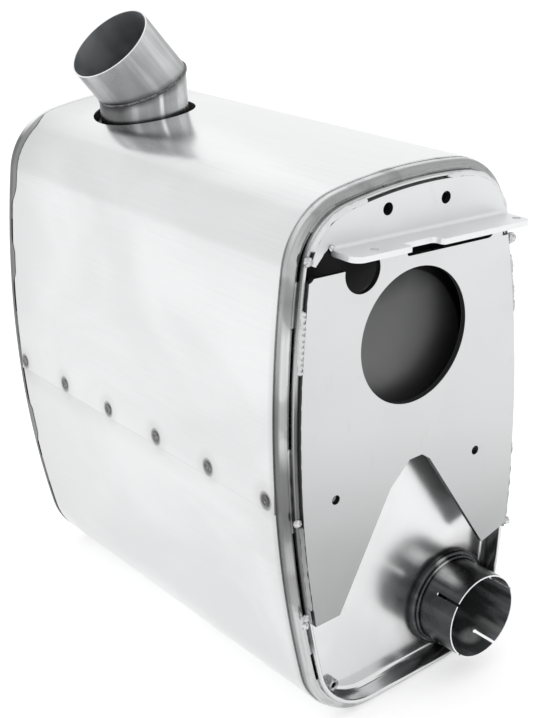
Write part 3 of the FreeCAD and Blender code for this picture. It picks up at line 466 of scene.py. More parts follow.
class Finish(Nodes):
    """A material with a colour of its own, whose patterns lie on Object coordinates."""

    def __init__(self, name, own):
        self.own = own
        self.material = bpy.data.materials.new(name)
        super().__init__(self.material)
        self.coordinates = self.node("ShaderNodeTexCoord", output="Object")

    def axis(self, name):
        return self.node("ShaderNodeSeparateXYZ", inputs={0: self.coordinates}, output=name)

    def distance(self, x, y, z):
        """Distance in metres from a line or point: a None coordinate is left out."""
        total = None
        for name, middle in (("X", x), ("Y", y), ("Z", z)):
            if middle is not None:
                step = self.axis(name) - middle
                total = step * step if total is None else total + step * step
        return total ** 0.5

    def noise(self, scale, shift=(0.0, 0.0, 0.0), turn=None, detail=3.0, roughness=0.55, distortion=0.0):
        """Noise on Object coordinates, which are turned first and then stretched."""
        where = self.coordinates
        point = {"vector_type": "POINT"}
        if turn:
            where = self.node("ShaderNodeMapping", point, {"Vector": where, "Rotation": turn})
        where = self.node("ShaderNodeMapping", point, {"Vector": where, "Location": shift, "Scale": scale})
        return self.node("ShaderNodeTexNoise", {"noise_dimensions": "3D"}, {
            "Vector": where, "Scale": 1.0, "Detail": detail, "Roughness": roughness,
            "Distortion": distortion})

    def spread(self, value, start, end, low=0.0, high=1.0):
        return self.node("ShaderNodeMapRange", {"interpolation_type": "SMOOTHSTEP"}, {
            "Value": value, "From Min": start, "From Max": end, "To Min": low, "To Max": high})

    def fade(self, value, start, end):
        return self.spread(value, start, end, 1.0, 0.0)

    def varied(self, pattern, low, high):
        return self.spread(pattern, 0.3, 0.7, low, high)

    def colour(self, value):
        """Takes a link, a colour, or a number for that share of the finish's own colour."""
        if isinstance(value, Value):
            return value
        return (*(shade(self.own, value) if isinstance(value, float) else value), 1.0)

    def mix(self, factor, first, second):
        return self.node("ShaderNodeMix", {"data_type": "RGBA", "blend_type": "MIX"}, {
            0: factor, 6: self.colour(first), 7: self.colour(second)}, output=2)

    def coats(self, base, *coats):
        """The base under its coats, each given as (mask, colour)."""
        for mask, colour in coats:
            base = self.mix(mask, base, colour)
        return base

    def ramp(self, value, *stops):
        """A ramp whose stops are (place, share of the finish's own colour)."""
        stops = [(place, self.colour(share)) for place, share in stops]
        return self.node("ShaderNodeValToRGB", {"stops": stops}, {"Fac": value})

    def surface(self, base, rough, metallic=1.0, bump=None):
        """The finished material; bump is (pattern, strength, distance)."""
        inputs = {"Base Color": self.colour(base), "Roughness": rough, "Metallic": metallic}
        if bump:
            inputs["Normal"] = self.node(
                "ShaderNodeBump", inputs=dict(zip(("Height", "Strength", "Distance"), bump)))
        return self.output(self.node("ShaderNodeBsdfPrincipled", inputs=inputs))

    def output(self, shader):
        self.node("ShaderNodeOutputMaterial", inputs={"Surface": shader})
        return self.material


def shade(colour, factor):
    return tuple(channel * factor for channel in colour)


# Finishes
def jacket_steel(look):
    """Bright rolled sheet, with a painted highlight over the arch, soft clouds and a burnt ring round each
    spot weld.
    """
    grain = look.noise((800.0, 7.0, 800.0))
    cloud = look.noise((7.0, 4.0, 6.0), roughness=0.5, distortion=0.6)
    haze = look.noise((2.4, 2.0, 2.4), (0.4, 0.2, 0.1), detail=2.0)
    x, y, z = look.axis("X"), look.axis("Y"), look.axis("Z")
    along = y - SPOT_FIRST * MM
    along = along - (along / (SPOT_PITCH * MM)).steps() * (SPOT_PITCH * MM)
    rise = z - SPOT_HEIGHT * MM
    near = (along * along + rise * rise * 0.8) ** 0.5 + (cloud - 0.5) * 0.004
    left = look.fade(x, -0.150, -0.145)
    lap = look.fade(abs(z - LAP_BOTTOM * MM), 0.0003, 0.0014) * left * look.spread(haze, 0.40, 0.60, 0.3, 1.0)
    # Painted shadow on the sheet just under the lower edge of the lap.
    below = look.spread(z, 0.250, 0.2825) * look.fade(z, 0.2829, 0.2831)
    under = below * left * look.spread(haze, 0.42, 0.58)
    front = look.fade(y, -0.2600, -0.2500) * look.fade(z, 0.40, 0.55)
    rear = look.spread(y, 0.150, 0.260) * look.spread(z, 0.45, 0.58, 0.6, 1.0)
    base = look.coats(
        0.87,
        (look.spread(cloud, 0.36, 0.64), 0.97),
        (look.spread(haze, 0.40, 0.62) * 0.6, 0.84),
        # Painted highlight over the top of the arch.
        (look.spread(z + (haze - 0.5) * 0.04, 0.585, 0.607), 1.08),
        (look.spread(grain, 0.35, 0.65) * 0.06, 0.60),
        (rear * 0.35, 0.60),
        (front * 0.35, 0.40),
        (under * 0.22, 0.35),
        (lap * 0.30, 0.25),
        (look.fade(near, 0.008, 0.024) * left * 0.30, (0.45, 0.44, 0.43)),
        (look.fade(near, 0.0065, 0.0110) * left * 0.80, (0.13, 0.13, 0.135)))
    return look.surface(base, look.varied(cloud, 0.17, 0.24), bump=(cloud, 0.30, 0.004))


def rim_steel(look):
    """Rolled rim with painted reflections: bands of lighter and darker tone by height, its side painted
    darker than its face.
    """
    draw = look.noise((60.0, 500.0, 8.0))
    blotch = look.noise((24.0, 24.0, 16.0))
    height = look.axis("Z") + (blotch - 0.5) * 0.035
    # Painted reflections and shade: tone ramps by height for the rim's side and for its face.
    side = look.ramp(
        height, (0.14, 0.36), (0.27, 0.19), (0.40, 0.22), (0.44, 0.42), (0.55, 0.58), (0.585, 0.92))
    face = look.ramp(
        height, (0.16, 0.72), (0.25, 0.44), (0.28, 0.18), (0.335, 0.24), (0.36, 0.66), (0.47, 0.82),
        (0.515, 0.36), (0.55, 0.62), (0.59, 0.42))
    base = look.coats(
        side,
        (look.spread(abs(look.axis("Y")), 0.2655, 0.2695), face),
        (look.spread(draw, 0.40, 0.70) * 0.25, 0.28),
        (look.spread(blotch, 0.54, 0.64) * 0.45, 0.22))
    return look.surface(base, look.varied(blotch, 0.22, 0.32), bump=(blotch, 0.15, 0.002))


def rear_rim_steel(look):
    """The plain end's rim, dark where it turns in behind the jacket, with painted shade where it laps over it
    near the top and a painted highlight along the top.
    """
    blotch = look.noise((14.0, 14.0, 9.0))
    y, z = look.axis("Y"), look.axis("Z")
    base = look.coats(
        0.14,
        (look.spread(abs(y), 0.2700, 0.2730), 0.75),
        (look.spread(blotch, 0.46, 0.56, 0.12, 0.40), 0.30),
        # Painted highlight along the top of the rim.
        (look.spread(z + (blotch - 0.5) * 0.02, 0.575, 0.595), 1.05),
        # Painted shade where the rim laps over the jacket, strongest near the top.
        (look.fade(y, 0.2600, 0.2625) * look.spread(z, 0.44, 0.58, 0.35, 0.85), 0.30))
    return look.surface(base, look.varied(blotch, 0.25, 0.40))


def cap_steel(look):
    """Pressed end cap, painted dark as shade behind the bracket with a painted shadow round its window, and a
    dark ring round the inlet collar.
    """
    cloud = look.noise((9.0, 9.0, 7.0))
    y = look.axis("Y")
    ring = look.distance(INLET[0] * MM, None, INLET[1] * MM)
    ahead = look.fade(y, 0.0, 0.1)
    covered = ahead * look.spread(y, -0.2715, -0.2690)
    height = look.axis("Z") + (cloud - 0.5) * 0.03
    behind = look.spread(height, 0.30, 0.33)
    # Painted shadow of the bracket's plate outside the circle of its window.
    window = look.spread(look.distance(-0.0027, None, 0.4028), 0.0955, 0.0985)
    shadow = look.ramp(
        height, (0.30, 0.95), (0.325, 0.40), (0.36, 0.25), (0.40, 0.20), (0.47, 0.17), (0.50, 0.06),
        (0.55, 0.04))
    base = look.coats(
        0.90,
        (look.spread(cloud, 0.35, 0.65), 1.0),
        # Painted shade behind the bracket: the shadow ramp by height, darker still outside the window.
        (covered * look.spread(height, 0.295, 0.315), look.mix(window * behind, shadow, 0.025)),
        (look.fade(ring + (cloud - 0.5) * 0.045, 0.060, 0.088) * ahead * 0.55, (0.30, 0.29, 0.28)),
        (look.fade(ring + (cloud - 0.5) * 0.02, 0.058, 0.070) * ahead * 0.85, (0.045, 0.045, 0.05)))
    rough = look.varied(cloud, 0.16, 0.26) + covered * behind * 0.3
    return look.surface(base, rough, bump=(cloud, 0.22, 0.003))


def hem_steel(look):
    """The folded edge of the cap's seam, dulled by the welds beside it."""
    blotch = look.noise((30.0, 30.0, 18.0))
    height = look.axis("Z") + (blotch - 0.5) * 0.05
    base = look.ramp(
        height, (0.05, 0.80), (0.105, 0.75), (0.125, 0.18), (0.20, 0.16), (0.34, 0.32), (0.43, 0.62),
        (0.50, 0.30), (0.545, 0.14), (0.575, 0.75))
    return look.surface(base, look.varied(blotch, 0.22, 0.34))


def pipe_steel(look):
    """Dark drawn tube, with a painted highlight along its top, a painted glint on its weld, and painted
    reflections in its paler streaked mouth.
    """
    lengthwise = look.noise((90.0, 5.0, 90.0))
    blotch = look.noise((25.0, 30.0, 25.0))
    streak = look.noise((45.0, 9.0, 45.0), (0.3, 0.0, 0.1), detail=2.0)
    y = look.axis("Y")
    inside = look.fade(look.distance(INLET[0] * MM, None, INLET[1] * MM), 0.0488, 0.0494)
    lining = look.mix(look.spread(streak, 0.40, 0.58), (0.10, 0.103, 0.107), (0.40, 0.41, 0.42))
    # Painted reflections inside the mouth: a bright patch low down and a light line along the wall.
    low = look.fade(look.distance(0.0859, -0.2874, 0.0313), 0.005, 0.017) * inside
    line = look.fade(look.distance(0.1075, None, 0.0431), 0.0015, 0.0060) * inside
    # Painted highlight: a bright streak along the top of the tube.
    highlight_distance = look.distance(0.0580, None, 0.1270) + (lengthwise - 0.5) * 0.016
    glint = look.fade(highlight_distance, 0.003, 0.015) * look.spread(y, -0.3140, -0.2900) * look.fade(y, -0.2700, -0.2640)
    base = look.coats(
        0.50,
        (look.spread(blotch, 0.3, 0.7), 1.05),
        (look.spread(lengthwise, 0.45, 0.70) * 0.35, 2.0),
        (inside, lining),
        (low * 0.9, (0.95, 0.95, 0.95)),
        (line * look.spread(y, -0.290, -0.270, 0.6, 0.0), (0.75, 0.75, 0.75)),
        (glint * 0.85, (0.70, 0.70, 0.70)),
        # Painted glint on the weld bead at one spot.
        (look.fade(look.distance(0.0623, -0.2648, 0.1292), 0.004, 0.011) * 0.6, (0.60, 0.60, 0.60)))
    return look.surface(base, look.varied(blotch, 0.22, 0.36), 1.0 - inside * 0.75)


def cut_steel(look):
    """Sawn edge of a tube, bright with fine tool marks."""
    marks = look.noise((700.0, 90.0, 700.0), detail=2.0)
    return look.surface(look.mix(look.spread(marks, 0.35, 0.65), 0.85, 1.0), look.varied(marks, 0.25, 0.40))


def outlet_steel(look):
    """Brushed tube with bands along each of its two lengths, dark heat along the mitre, painted shade down
    the stub's left side and a painted highlight down the stub.
    """
    lean = math.radians(TIP_LEAN)
    side = look.axis("X") - OUTLET[0] * MM
    depth = look.axis("Y") - OUTLET[1] * MM
    lift = look.axis("Z") - MITRE_HEIGHT * MM
    across = lift * math.cos(lean / 2) - side * math.sin(lean / 2)
    upper = look.spread(across, -0.0003, 0.0003)
    lower = 1.0 - upper
    leaning = look.noise((58.0, 58.0, 3.0), turn=(0.0, lean, 0.0), detail=2.0, roughness=0.4)
    upright = look.noise((70.0, 70.0, 3.0), detail=2.0, roughness=0.4)
    bands = (leaning * upper + upright * lower) * 0.65 + look.noise((14.0, 14.0, 9.0), detail=1.0) * 0.35
    brush = look.noise((600.0, 600.0, 25.0), turn=(0.0, lean, 0.0), detail=2.0)
    blotch = look.noise((22.0, 22.0, 22.0))
    out = side * math.cos(lean) + lift * math.sin(lean)
    bore = look.fade((out * out + depth * depth) ** 0.5, 0.0508, 0.0514) * upper
    below = look.fade((side * side + depth * depth) ** 0.5, 0.0508, 0.0514) * lower
    lining = look.mix(look.spread(blotch, 0.35, 0.65), (0.36, 0.375, 0.39), (0.50, 0.515, 0.53))
    heat = abs(across) + (blotch - 0.5) * 0.012
    # Across the stub towards its left side, which carries the painted shade and the painted highlight.
    aside = depth * 0.6 - side * 0.8
    base = look.coats(
        0.76,
        (look.spread(bands, 0.40, 0.60), 1.30),
        (look.spread(brush, 0.4, 0.65) * 0.15, 0.6),
        (look.fade(heat, 0.006, 0.026) * 0.35, 0.50),
        # Painted shade down the left side of the stub.
        (look.spread(aside, 0.004, 0.026) * lower * 0.85, 0.18),
        # Painted highlight: a bright streak down the stub.
        (look.fade(abs(aside + 0.0240), 0.0008, 0.0034) * lower * 0.9, 1.95),
        (look.fade(look.axis("Z"), 0.600, 0.625) * 0.65, 0.25),
        # Heat tint close to the mitre, made darker on the left as painted shadow.
        (look.fade(heat, 0.002, 0.010) * look.spread(side, -0.060, 0.020, 0.90, 0.60), (0.045, 0.045, 0.05)),
        (bore.high(below), lining))
    return look.surface(base, look.varied(blotch, 0.24, 0.34) + bore * 0.25, bump=(brush, 0.05, 0.0002))


def bracket_paint(look):
    """Smooth pale coat, with a painted highlight on the shelf, painted shade towards the feet and painted
    shade on its edges behind the face.
    """
    cloud = look.noise((6.0, 6.0, 6.0))
    tooth = look.noise((500.0, 500.0, 500.0), detail=2.0)
    scuff = look.noise((60.0, 60.0, 20.0), detail=4.0)
    y = look.axis("Y")
    slope = look.axis("Z") + look.axis("X") * 0.29 + (cloud - 0.5) * 0.03
    # Painted shade: darker towards the feet and the lower left.
    sloped = look.ramp(
        slope, (0.09, 0.52), (0.15, 0.60), (0.20, 0.66), (0.24, 0.77), (0.28, 0.88), (0.33, 0.97),
        (0.40, 1.01), (0.50, 1.05), (0.58, 1.12))
    base = look.coats(
        sloped,
        (look.spread(cloud, 0.4, 0.7) * 0.25, 0.92),
        (look.spread(scuff, 0.62, 0.72) * 0.10, 0.70),
        # Painted highlight on the shelf, which stands out in front of the plate.
        (look.spread(y, -0.2880, -0.2856, 0.85, 0.0), 1.27),
        # Painted shade on the plates' cut edges and backs; the next coat makes the backs paler again.
        (look.spread(y, -0.28485, -0.28460), 0.10),
        (look.spread(y, -0.27920, -0.27905), 0.75))
    return look.surface(base, look.varied(cloud, 0.40, 0.50), 0.85, (tooth, 0.05, 0.0002))


def border_paint(look):
    """The same coat over the strip and welds of the border, darkest halfway down."""
    cloud = look.noise((22.0, 22.0, 14.0))
    height = look.axis("Z") + (cloud - 0.5) * 0.02
    shaded = look.ramp(
        height, (0.155, 0.60), (0.25, 0.42), (0.275, 0.34), (0.36, 0.22), (0.405, 0.30), (0.43, 0.90),
        (0.54, 1.08))
    base = look.mix(look.spread(cloud, 0.5, 0.7) * 0.35, shaded, 0.55)
    return look.surface(base, look.varied(cloud, 0.30, 0.42), 0.85)


def weld_steel(look):
    """Silvery weld metal with dark scale in its hollows."""
    scale = look.noise((320.0, 320.0, 320.0), detail=4.0)
    patch = look.noise((60.0, 60.0, 60.0))
    base = look.coats(0.45, (look.spread(scale, 0.35, 0.65), 1.0), (look.spread(patch, 0.5, 0.7) * 0.5, 0.3))
    return look.surface(base, look.varied(patch, 0.24, 0.46), bump=(scale, 0.3, 0.0005))


def inner_steel(look):
    """Dull sheet out of the light inside the box."""
    cloud = look.noise((20.0, 20.0, 20.0))
    return look.surface(look.mix(look.spread(cloud, 0.3, 0.7), 0.6, 1.0), look.varied(cloud, 0.45, 0.65), 0.8)


def wool(look):
    """Dark packed mineral wool."""
    fibre = look.noise((300.0, 300.0, 120.0), detail=5.0, distortion=1.5)
    return look.surface(look.mix(fibre, 0.4, 1.0), 0.95, 0.0, (fibre, 0.8, 0.002))


# Each finish: what makes it, the setting with its colour and the share of that colour
FINISHES = {
    "jacket_steel": (jacket_steel, "jacket", 1.0),
    "rim_steel": (rim_steel, "rim", 1.0),
    "rear_rim_steel": (rear_rim_steel, "rim", 1.0),
    "cap_steel": (cap_steel, "cap", 1.0),
    "hem_steel": (hem_steel, "cap", 1.0),
    "pipe_steel": (pipe_steel, "inlet", 1.0),
    "cut_steel": (cut_steel, "sawn", 1.0),
    "outlet_steel": (outlet_steel, "outlet", 1.0),
    "bracket_paint": (bracket_paint, "bracket", 1.0),
    "border_paint": (border_paint, "bracket", 1.0),
    "weld_steel": (weld_steel, "weld", 1.0),
    "bracket_weld": (weld_steel, "weld", 1.25),
    "burnt_weld": (weld_steel, "weld", 0.32),
    "shell_steel": (inner_steel, "inside", 1.0),
    "tube_steel": (inner_steel, "inside", 1.0),
    "wool": (wool, "mat", 1.0),
}
MADE = {}


def finish(name):
    """The named material, made the first time it is asked for."""
    if name not in MADE:
        maker, setting, share = FINISHES[name]
        colour = shade(getattr(bpy.context.scene.muffler_colours, setting), share)
        MADE[name] = maker(Finish(name, colour))
    return MADE[name]


# Settings
def tint(name, description, default):
    return bpy.props.FloatVectorProperty(
        name=name, description=description, size=3, subtype="COLOR", min=0.0, max=1.0, default=default)


class MufflerColours(bpy.types.PropertyGroup):
    jacket: tint("Jacket", "Colour of the bright outer sheet", (0.785, 0.79, 0.795))
    rim: tint("Rims", "Colour of the rings round both ends", (0.80, 0.805, 0.81))
    cap: tint("End caps", "Colour of the pressed end caps", (0.78, 0.785, 0.79))
    bracket: tint("Bracket", "Colour of the bracket plates", (0.66, 0.665, 0.67))
    inlet: tint("Inlet", "Colour of the inlet socket and its collar", (0.085, 0.087, 0.09))
    outlet: tint("Outlet", "Colour of the outlet stub and tip", (0.46, 0.465, 0.47))
    sawn: tint("Sawn edges", "Colour of the bare edges of the tubes", (0.90, 0.90, 0.91))
    weld: tint("Welds", "Colour of the weld beads", (0.62, 0.62, 0.63))
    inside: tint("Inside", "Colour of the sheet and tubes inside the box", (0.10, 0.10, 0.105))
    mat: tint("Mat", "Colour of the wool between shell and jacket", (0.10, 0.095, 0.085))


class MufflerWelds(bpy.types.PropertyGroup):
    ripple: bpy.props.FloatProperty(
        name="Ripple", description="Height of the ripples on a bead, as a share of its rise",
        min=0.0, max=0.5, default=0.22, subtype="FACTOR")
    pitch: bpy.props.FloatProperty(
        name="Pitch", description="Distance from one ripple of a bead to the next, in millimetres",
        min=1.0, max=10.0, default=3.2)


class MufflerStage(bpy.types.PropertyGroup):
    floor: tint("Floor", "Colour of the floor", (0.88, 0.88, 0.88))
    lamp_power: bpy.props.FloatProperty(
        name="Lamp power", description="Power of the main soft lamp", unit="POWER", min=0.0, default=4.0)


# Jacket
def jacket_rings():
    """Rings of the jacket's closed sheet, its outer face raised along the lap."""
    crease = (LAP_BOTTOM - 0.05, LAP_BOTTOM + 0.05)
    points = outline(9.0, extra=crease + (285.5, 289.0, 294.0, 299.0, 304.0, LAP_TOP))
    raised = []
    for x, z, _, _ in points:
        on_lap = x < -100 and LAP_BOTTOM < z < LAP_TOP
        raised.append(JACKET_SHEET * (LAP_TOP - z) / (LAP_TOP - LAP_BOTTOM) if on_lap else 0.0)
    length = -2 * JACKET_FRONT
    outer = [(JACKET_FRONT + length * index / 30, 0.0) for index in range(31)]
    inner = [(-JACKET_FRONT - length * index / 6, JACKET_SHEET) for index in range(7)]
    rings = []
    for y, inset in inner[-1:] + outer + inner[:-1]:
        rings.append([inset_point(point, inset - (lap if inset == 0.0 else 0.0), y)
                      for point, lap in zip(points, raised)])
    return rings


def build_jacket():
    bm = loft(jacket_rings(), closed=True)
    bm = cut(bm, [rod((OUTLET[0], OUTLET[1], 0.0), (0, 0, 1), JACKET_HOLE_RADIUS, 540.0, 680.0, 128)])
    finished("jacket", bm, "jacket_steel", 30.0, "outer_jacket")


def build_spot_welds():
    parts = []
    section = (
        (0.02, -1.2), (0.02, 0.15), (2.0, 0.1), (3.6, 0.25), (5.0, 0.62), (6.0, 0.6), (6.8, 0.2), (7.0, -1.2))
    angle = math.asin((SPOT_HEIGHT - SIDE_CENTRE[1]) / SIDE_RADIUS)
    out = Vector((-math.cos(angle), 0.0, math.sin(angle)))
    lap_rise = 0.85
    x = -SIDE_CENTRE[0] - (SIDE_RADIUS + lap_rise) * math.cos(angle)
    for index in range(SPOT_COUNT):
        part = lathe(section, (x, SPOT_FIRST + index * SPOT_PITCH, SPOT_HEIGHT), out, 32)
        for vertex in part.verts:
            rough = noise.noise(vertex.co * 300.0 + Vector((index * 3.0, 0, 0)))
            vertex.co += out * rough * 0.18 * MM
        parts.append(part)
    finished("spot_welds", joined(parts), "burnt_weld", 60.0, "jacket_spot_welds")


# Rims
def ring_profile(inset, tail, front, radius, reach):
    """Closed section (inset, y) of a rolled rim: from its tail forward, round its shoulder, back inside."""
    turn = -1.0 if front < tail else 1.0
    corner = (inset + radius, front - turn * radius)
    end = 180.0 - turn * 90.0
    outer = [(inset, tail)] + rounded(corner, radius, 180.0, end, 8)
    inner = rounded(corner, radius - RING_SHEET, end, 180.0, 8)
    return outer + [(reach, front), (reach, front - turn * RING_SHEET)] + inner + [(inset + RING_SHEET, tail)]


def wide_lap(point, stretches):
    """How far the ring's tail laps further over the jacket at a point of the outline."""
    angle = polar(point[0], point[1])
    eases = [(min(angle - first, last - angle) / LAP_EASE, lap) for first, last, lap in stretches]
    return max((lap * min(1.0, max(0.0, ease)) for ease, lap in eases), default=0.0)


def swept(profile, spacing=9.0, closing=0.0, tail_lap=0.0, stretches=()):
    """Closed section swept round the box's outline; over the arch its inner edge and its tail close in."""
    points = outline(spacing)
    reach = max(inset for inset, y in profile)
    tail = min((y for inset, y in profile), key=abs)
    rings = []
    for inset, y in profile:
        ring = []
        for point in points:
            arch = min(1.0, max(0.0, (point[3] - 0.35) / 0.5))
            more = closing * arch if inset == reach else 0.0
            lap = 0.0
            if y == tail:
                wide = wide_lap(point, stretches)
                lap = math.copysign(tail_lap * arch + wide, y)
                more -= LAP_LIFT * min(1.0, wide / 3.0)
            ring.append(inset_point(point, inset + more, y - lap))
        rings.append(ring)
    return loft(rings, closed=True)


def build_rims():
    front = swept(ring_profile(1.75, -245.0, RING_FRONT, 7.0, 10.0), closing=1.6)
    finished("front_rim", front, "rim_steel", 40.0, "front_rim_ring")
    rear = swept(ring_profile(0.0, 264.0, -RING_FRONT, 5.0, 9.0), 5.0, tail_lap=3.8, stretches=REAR_LAPS)
    finished("rear_rim", rear, "rear_rim_steel", 40.0, "rear_rim_ring")


def stitch_runs(inset, ranges):
    """Runs of the outline between two angles, and the same on the other side of the box."""
    both = []
    for first, last in ranges:
        both.append((first, last))
        if last < 90 or 90 < first and last < 270:
            both.append(((180.0 - last) % 360.0, (180.0 - first) % 360.0))
    runs = []
    for first, last in both:
        reach = (last - first) % 360.0
        runs.append(run_of_outline(inset, 0.8, lambda x, z: (polar(x, z) - first) % 360.0 <= reach))
    return runs


def build_stitches():
    welds = bpy.context.scene.muffler_welds
    front = [weld_bead(run, RING_FRONT, 4.2, 1.1, 2.5, welds.pitch, index * 2.3, welds.ripple * 0.25)
             for index, run in enumerate(stitch_runs(STITCH_INSET, FRONT_STITCHES))]
    finished("front_stitches", joined(front), "rim_steel", 60.0, "front_rim_welds")
    rear = [weld_bead(run, -RING_FRONT, 4.6, 1.5, 2.5, welds.pitch, index * 3.1, welds.ripple, 1.0)
            for index, run in enumerate(stitch_runs(STITCH_INSET, REAR_STITCHES))]
    rear += [weld_bead(run, SLIT_PLACE, 5.2, 1.3, 1.7, welds.pitch, len(run) * 0.1, welds.ripple, slit=True)
             for run in stitch_runs(0.9, REAR_STITCHES)]
    finished("rear_stitches", joined(rear), "burnt_weld", 60.0, "rear_rim_welds")


# End caps
def cap_rings():
    """Section (inset, y) of the front cap's sheet, from the middle of its face out over the hem and back."""
    bend = 7.5
    dish = (24.5, CAP_FACE - bend)
    back = CAP_FACE + CAP_SHEET
    face = [(60.0, CAP_FACE), (26.5, CAP_FACE)] + rounded(dish, bend, 90.0, 180.0, 8)
    lip = rounded((14.8, -276.5), 2.2, 0.0, -90.0, 5) + rounded((14.2, -276.5), 2.2, -90.0, -180.0, 5)
    hem = [(12.0, -264.7), (13.5, -264.7), (13.5, -277.2), (15.5, -277.2)]
    return face + lip + hem + rounded(dish, bend + CAP_SHEET, 180.0, 90.0, 8) + [(26.5, back), (60.0, back)]


def on_hem(face):
    """True for the faces round the outside of the cap's seam."""
    outward = face.normal.x * face.center.x + face.normal.z * (face.center.z - WIDEST_HEIGHT * MM)
    return outward > 0 and abs(face.normal.y) < 0.9 and face.center.y < -0.262


def build_caps():
    points = outline(9.0)
    rings = [[inset_point(point, inset, y) for point in points] for inset, y in cap_rings()]
    holes = ((INLET, INLET_RADIUS + COLLAR_GAP, 128), (DRAIN, DRAIN_BORE, 32))
    front = cut(loft(rings), [rod((x, 0.0, z), (0, 1, 0), radius, CAP_FACE - 5.6, CAP_FACE + 6.4, segments)
                              for (x, z), radius, segments in holes])
    finished("front_cap", front, "cap_steel", 35.0, "front_end_cap", "hem_steel", on_hem)
    rear = loft([[Vector((place.x, -place.y, place.z)) for place in ring] for ring in rings])
    finished("rear_cap", rear, "cap_steel", 35.0, "rear_end_cap")


# Inlet and drain
def is_cut(face, centre, along):
    """True for the faces that a saw leaves on a tube: its rim and the sides of its slots."""
    out = face.center - centre * MM
    out -= along * out.dot(along)
    return abs(face.normal.dot(out.normalized())) < 0.80


def slot_cutters(axis, along):
    """For each slot a bar that runs in from the mouth and a rod across its round end."""
    cutters = []
    for angle in SLOT_ANGLES:
        turn = math.radians(angle)
        out = Vector((math.cos(turn), 0.0, math.sin(turn)))
        sideways = Vector((-math.sin(turn), 0.0, math.cos(turn)))
        middle = (axis + out * INLET_RADIUS + along * (INLET_MOUTH + SLOT_LENGTH / 2 - 0.5)) * MM
        turned = Matrix((sideways, along, out)).transposed().to_4x4()
        size = Matrix.Diagonal(Vector((SLOT_WIDTH, SLOT_LENGTH + 1.0, 8.0)) * MM).to_4x4()
        bar = bmesh.new()
        bmesh.ops.create_cube(bar, size=1.0, matrix=Matrix.Translation(middle) @ turned @ size)
        end = axis + along * (INLET_MOUTH + SLOT_LENGTH)
        cutters += [bar, rod(end, out, SLOT_END_RADIUS, INLET_RADIUS - 5.0, INLET_RADIUS + 5.0, 24)]
    return cutters


def inlet_bead(axis, along, bore):
    """Rippled bead in the corner between the socket and the collar's front."""
    welds = bpy.context.scene.muffler_welds
    count, around, size = 360, 12, 2.1
    diagonal = math.sqrt(0.5)
    rings = []
    for index in range(count):
        angle = 2 * math.pi * index / count
        out = Vector((math.cos(angle), 0.0, math.sin(angle)))
        fat = 1 + 0.2 * noise.noise(Vector((math.cos(angle) * 3.0, math.sin(angle) * 3.0, 5.0)))
        ring = []
        for step in range(around):
            turn = 2 * math.pi * step / around
            lift = rippled(angle * bore, turn, 0.4, welds.pitch, welds.ripple)[1] * fat
            across = math.cos(turn) * size * lift
            up = math.sin(turn) * size * lift
            radius = max(bore + 0.9 + (across + up) * diagonal, bore - 0.15)
            y = min(COLLAR_FRONT - 0.9 + (across - up) * diagonal, COLLAR_FRONT + 0.4)
            ring.append((axis + out * radius + along * y) * MM)
        rings.append(ring)
    return loft(rings, closed=True)


def build_inlet():
    axis = Vector((INLET[0], 0.0, INLET[1]))
    along = Vector((0, 1, 0))
    inner = INLET_RADIUS - INLET_WALL
    end = CAP_FACE + 30.0
    bevel = INLET_MOUTH + SAWN_BEVEL
    section = [(INLET_RADIUS, bevel), (INLET_RADIUS, end), (inner, end), (inner, bevel),
               (inner + SAWN_BEVEL, INLET_MOUTH), (INLET_RADIUS - SAWN_BEVEL, INLET_MOUTH)]
    pipe = cut(lathe(section, axis, along, 128), slot_cutters(axis, along))
    finished("inlet_socket", pipe, "pipe_steel", 35.0, "inlet_pipe",
             "cut_steel", lambda face: is_cut(face, axis, along))

    bore = INLET_RADIUS + COLLAR_GAP
    outer = bore + COLLAR_WALL
    shoulder = rounded((outer - COLLAR_BEND, COLLAR_FRONT + COLLAR_BEND), COLLAR_BEND, -90.0, 0.0, 8)
    section = [(bore, COLLAR_FRONT)] + shoulder + [(outer, CAP_FACE + SEAT), (bore, CAP_FACE + SEAT)]
    finished("collar", lathe(section, axis, along, 128), "pipe_steel", 35.0, "inlet_collar")
    finished("inlet_bead", inlet_bead(axis, along, bore), "pipe_steel", 60.0, "inlet_weld")


def build_drain():
    top = CAP_FACE - 8.0
    bend = 1.8
    outer = 7.0
    bore = rounded((DRAIN_BORE + bend, top + bend), bend, 180.0, 270.0, 6)
    lip = rounded((outer - bend, top + bend), bend, -90.0, 0.0, 6)
    section = bore + lip[1:] + [(outer, CAP_FACE + SEAT), (DRAIN_BORE, CAP_FACE + SEAT)]
    bush = lathe(section, (DRAIN[0], 0.0, DRAIN[1]), (0, 1, 0), 48)
    finished("drain_bush", bush, "weld_steel", 40.0, "drain_boss")


# Outlet
def outlet_ring(radius, direction, plane, distance, segments=128):
    """Ring of a tube through the mitre's centre, cut by the mitre's plane or square at a distance."""
    centre = Vector((OUTLET[0], OUTLET[1], MITRE_HEIGHT))
    side = Vector((direction.z, 0.0, -direction.x))
    ring = []
    for index in range(segments):
        angle = 2 * math.pi * index / segments
        offset = side * math.cos(angle) * radius + Vector((0, 1, 0)) * math.sin(angle) * radius
        if plane is not None:
            distance = -offset.dot(plane) / direction.dot(plane)
        ring.append((centre + offset + direction * distance) * MM)
    return ring


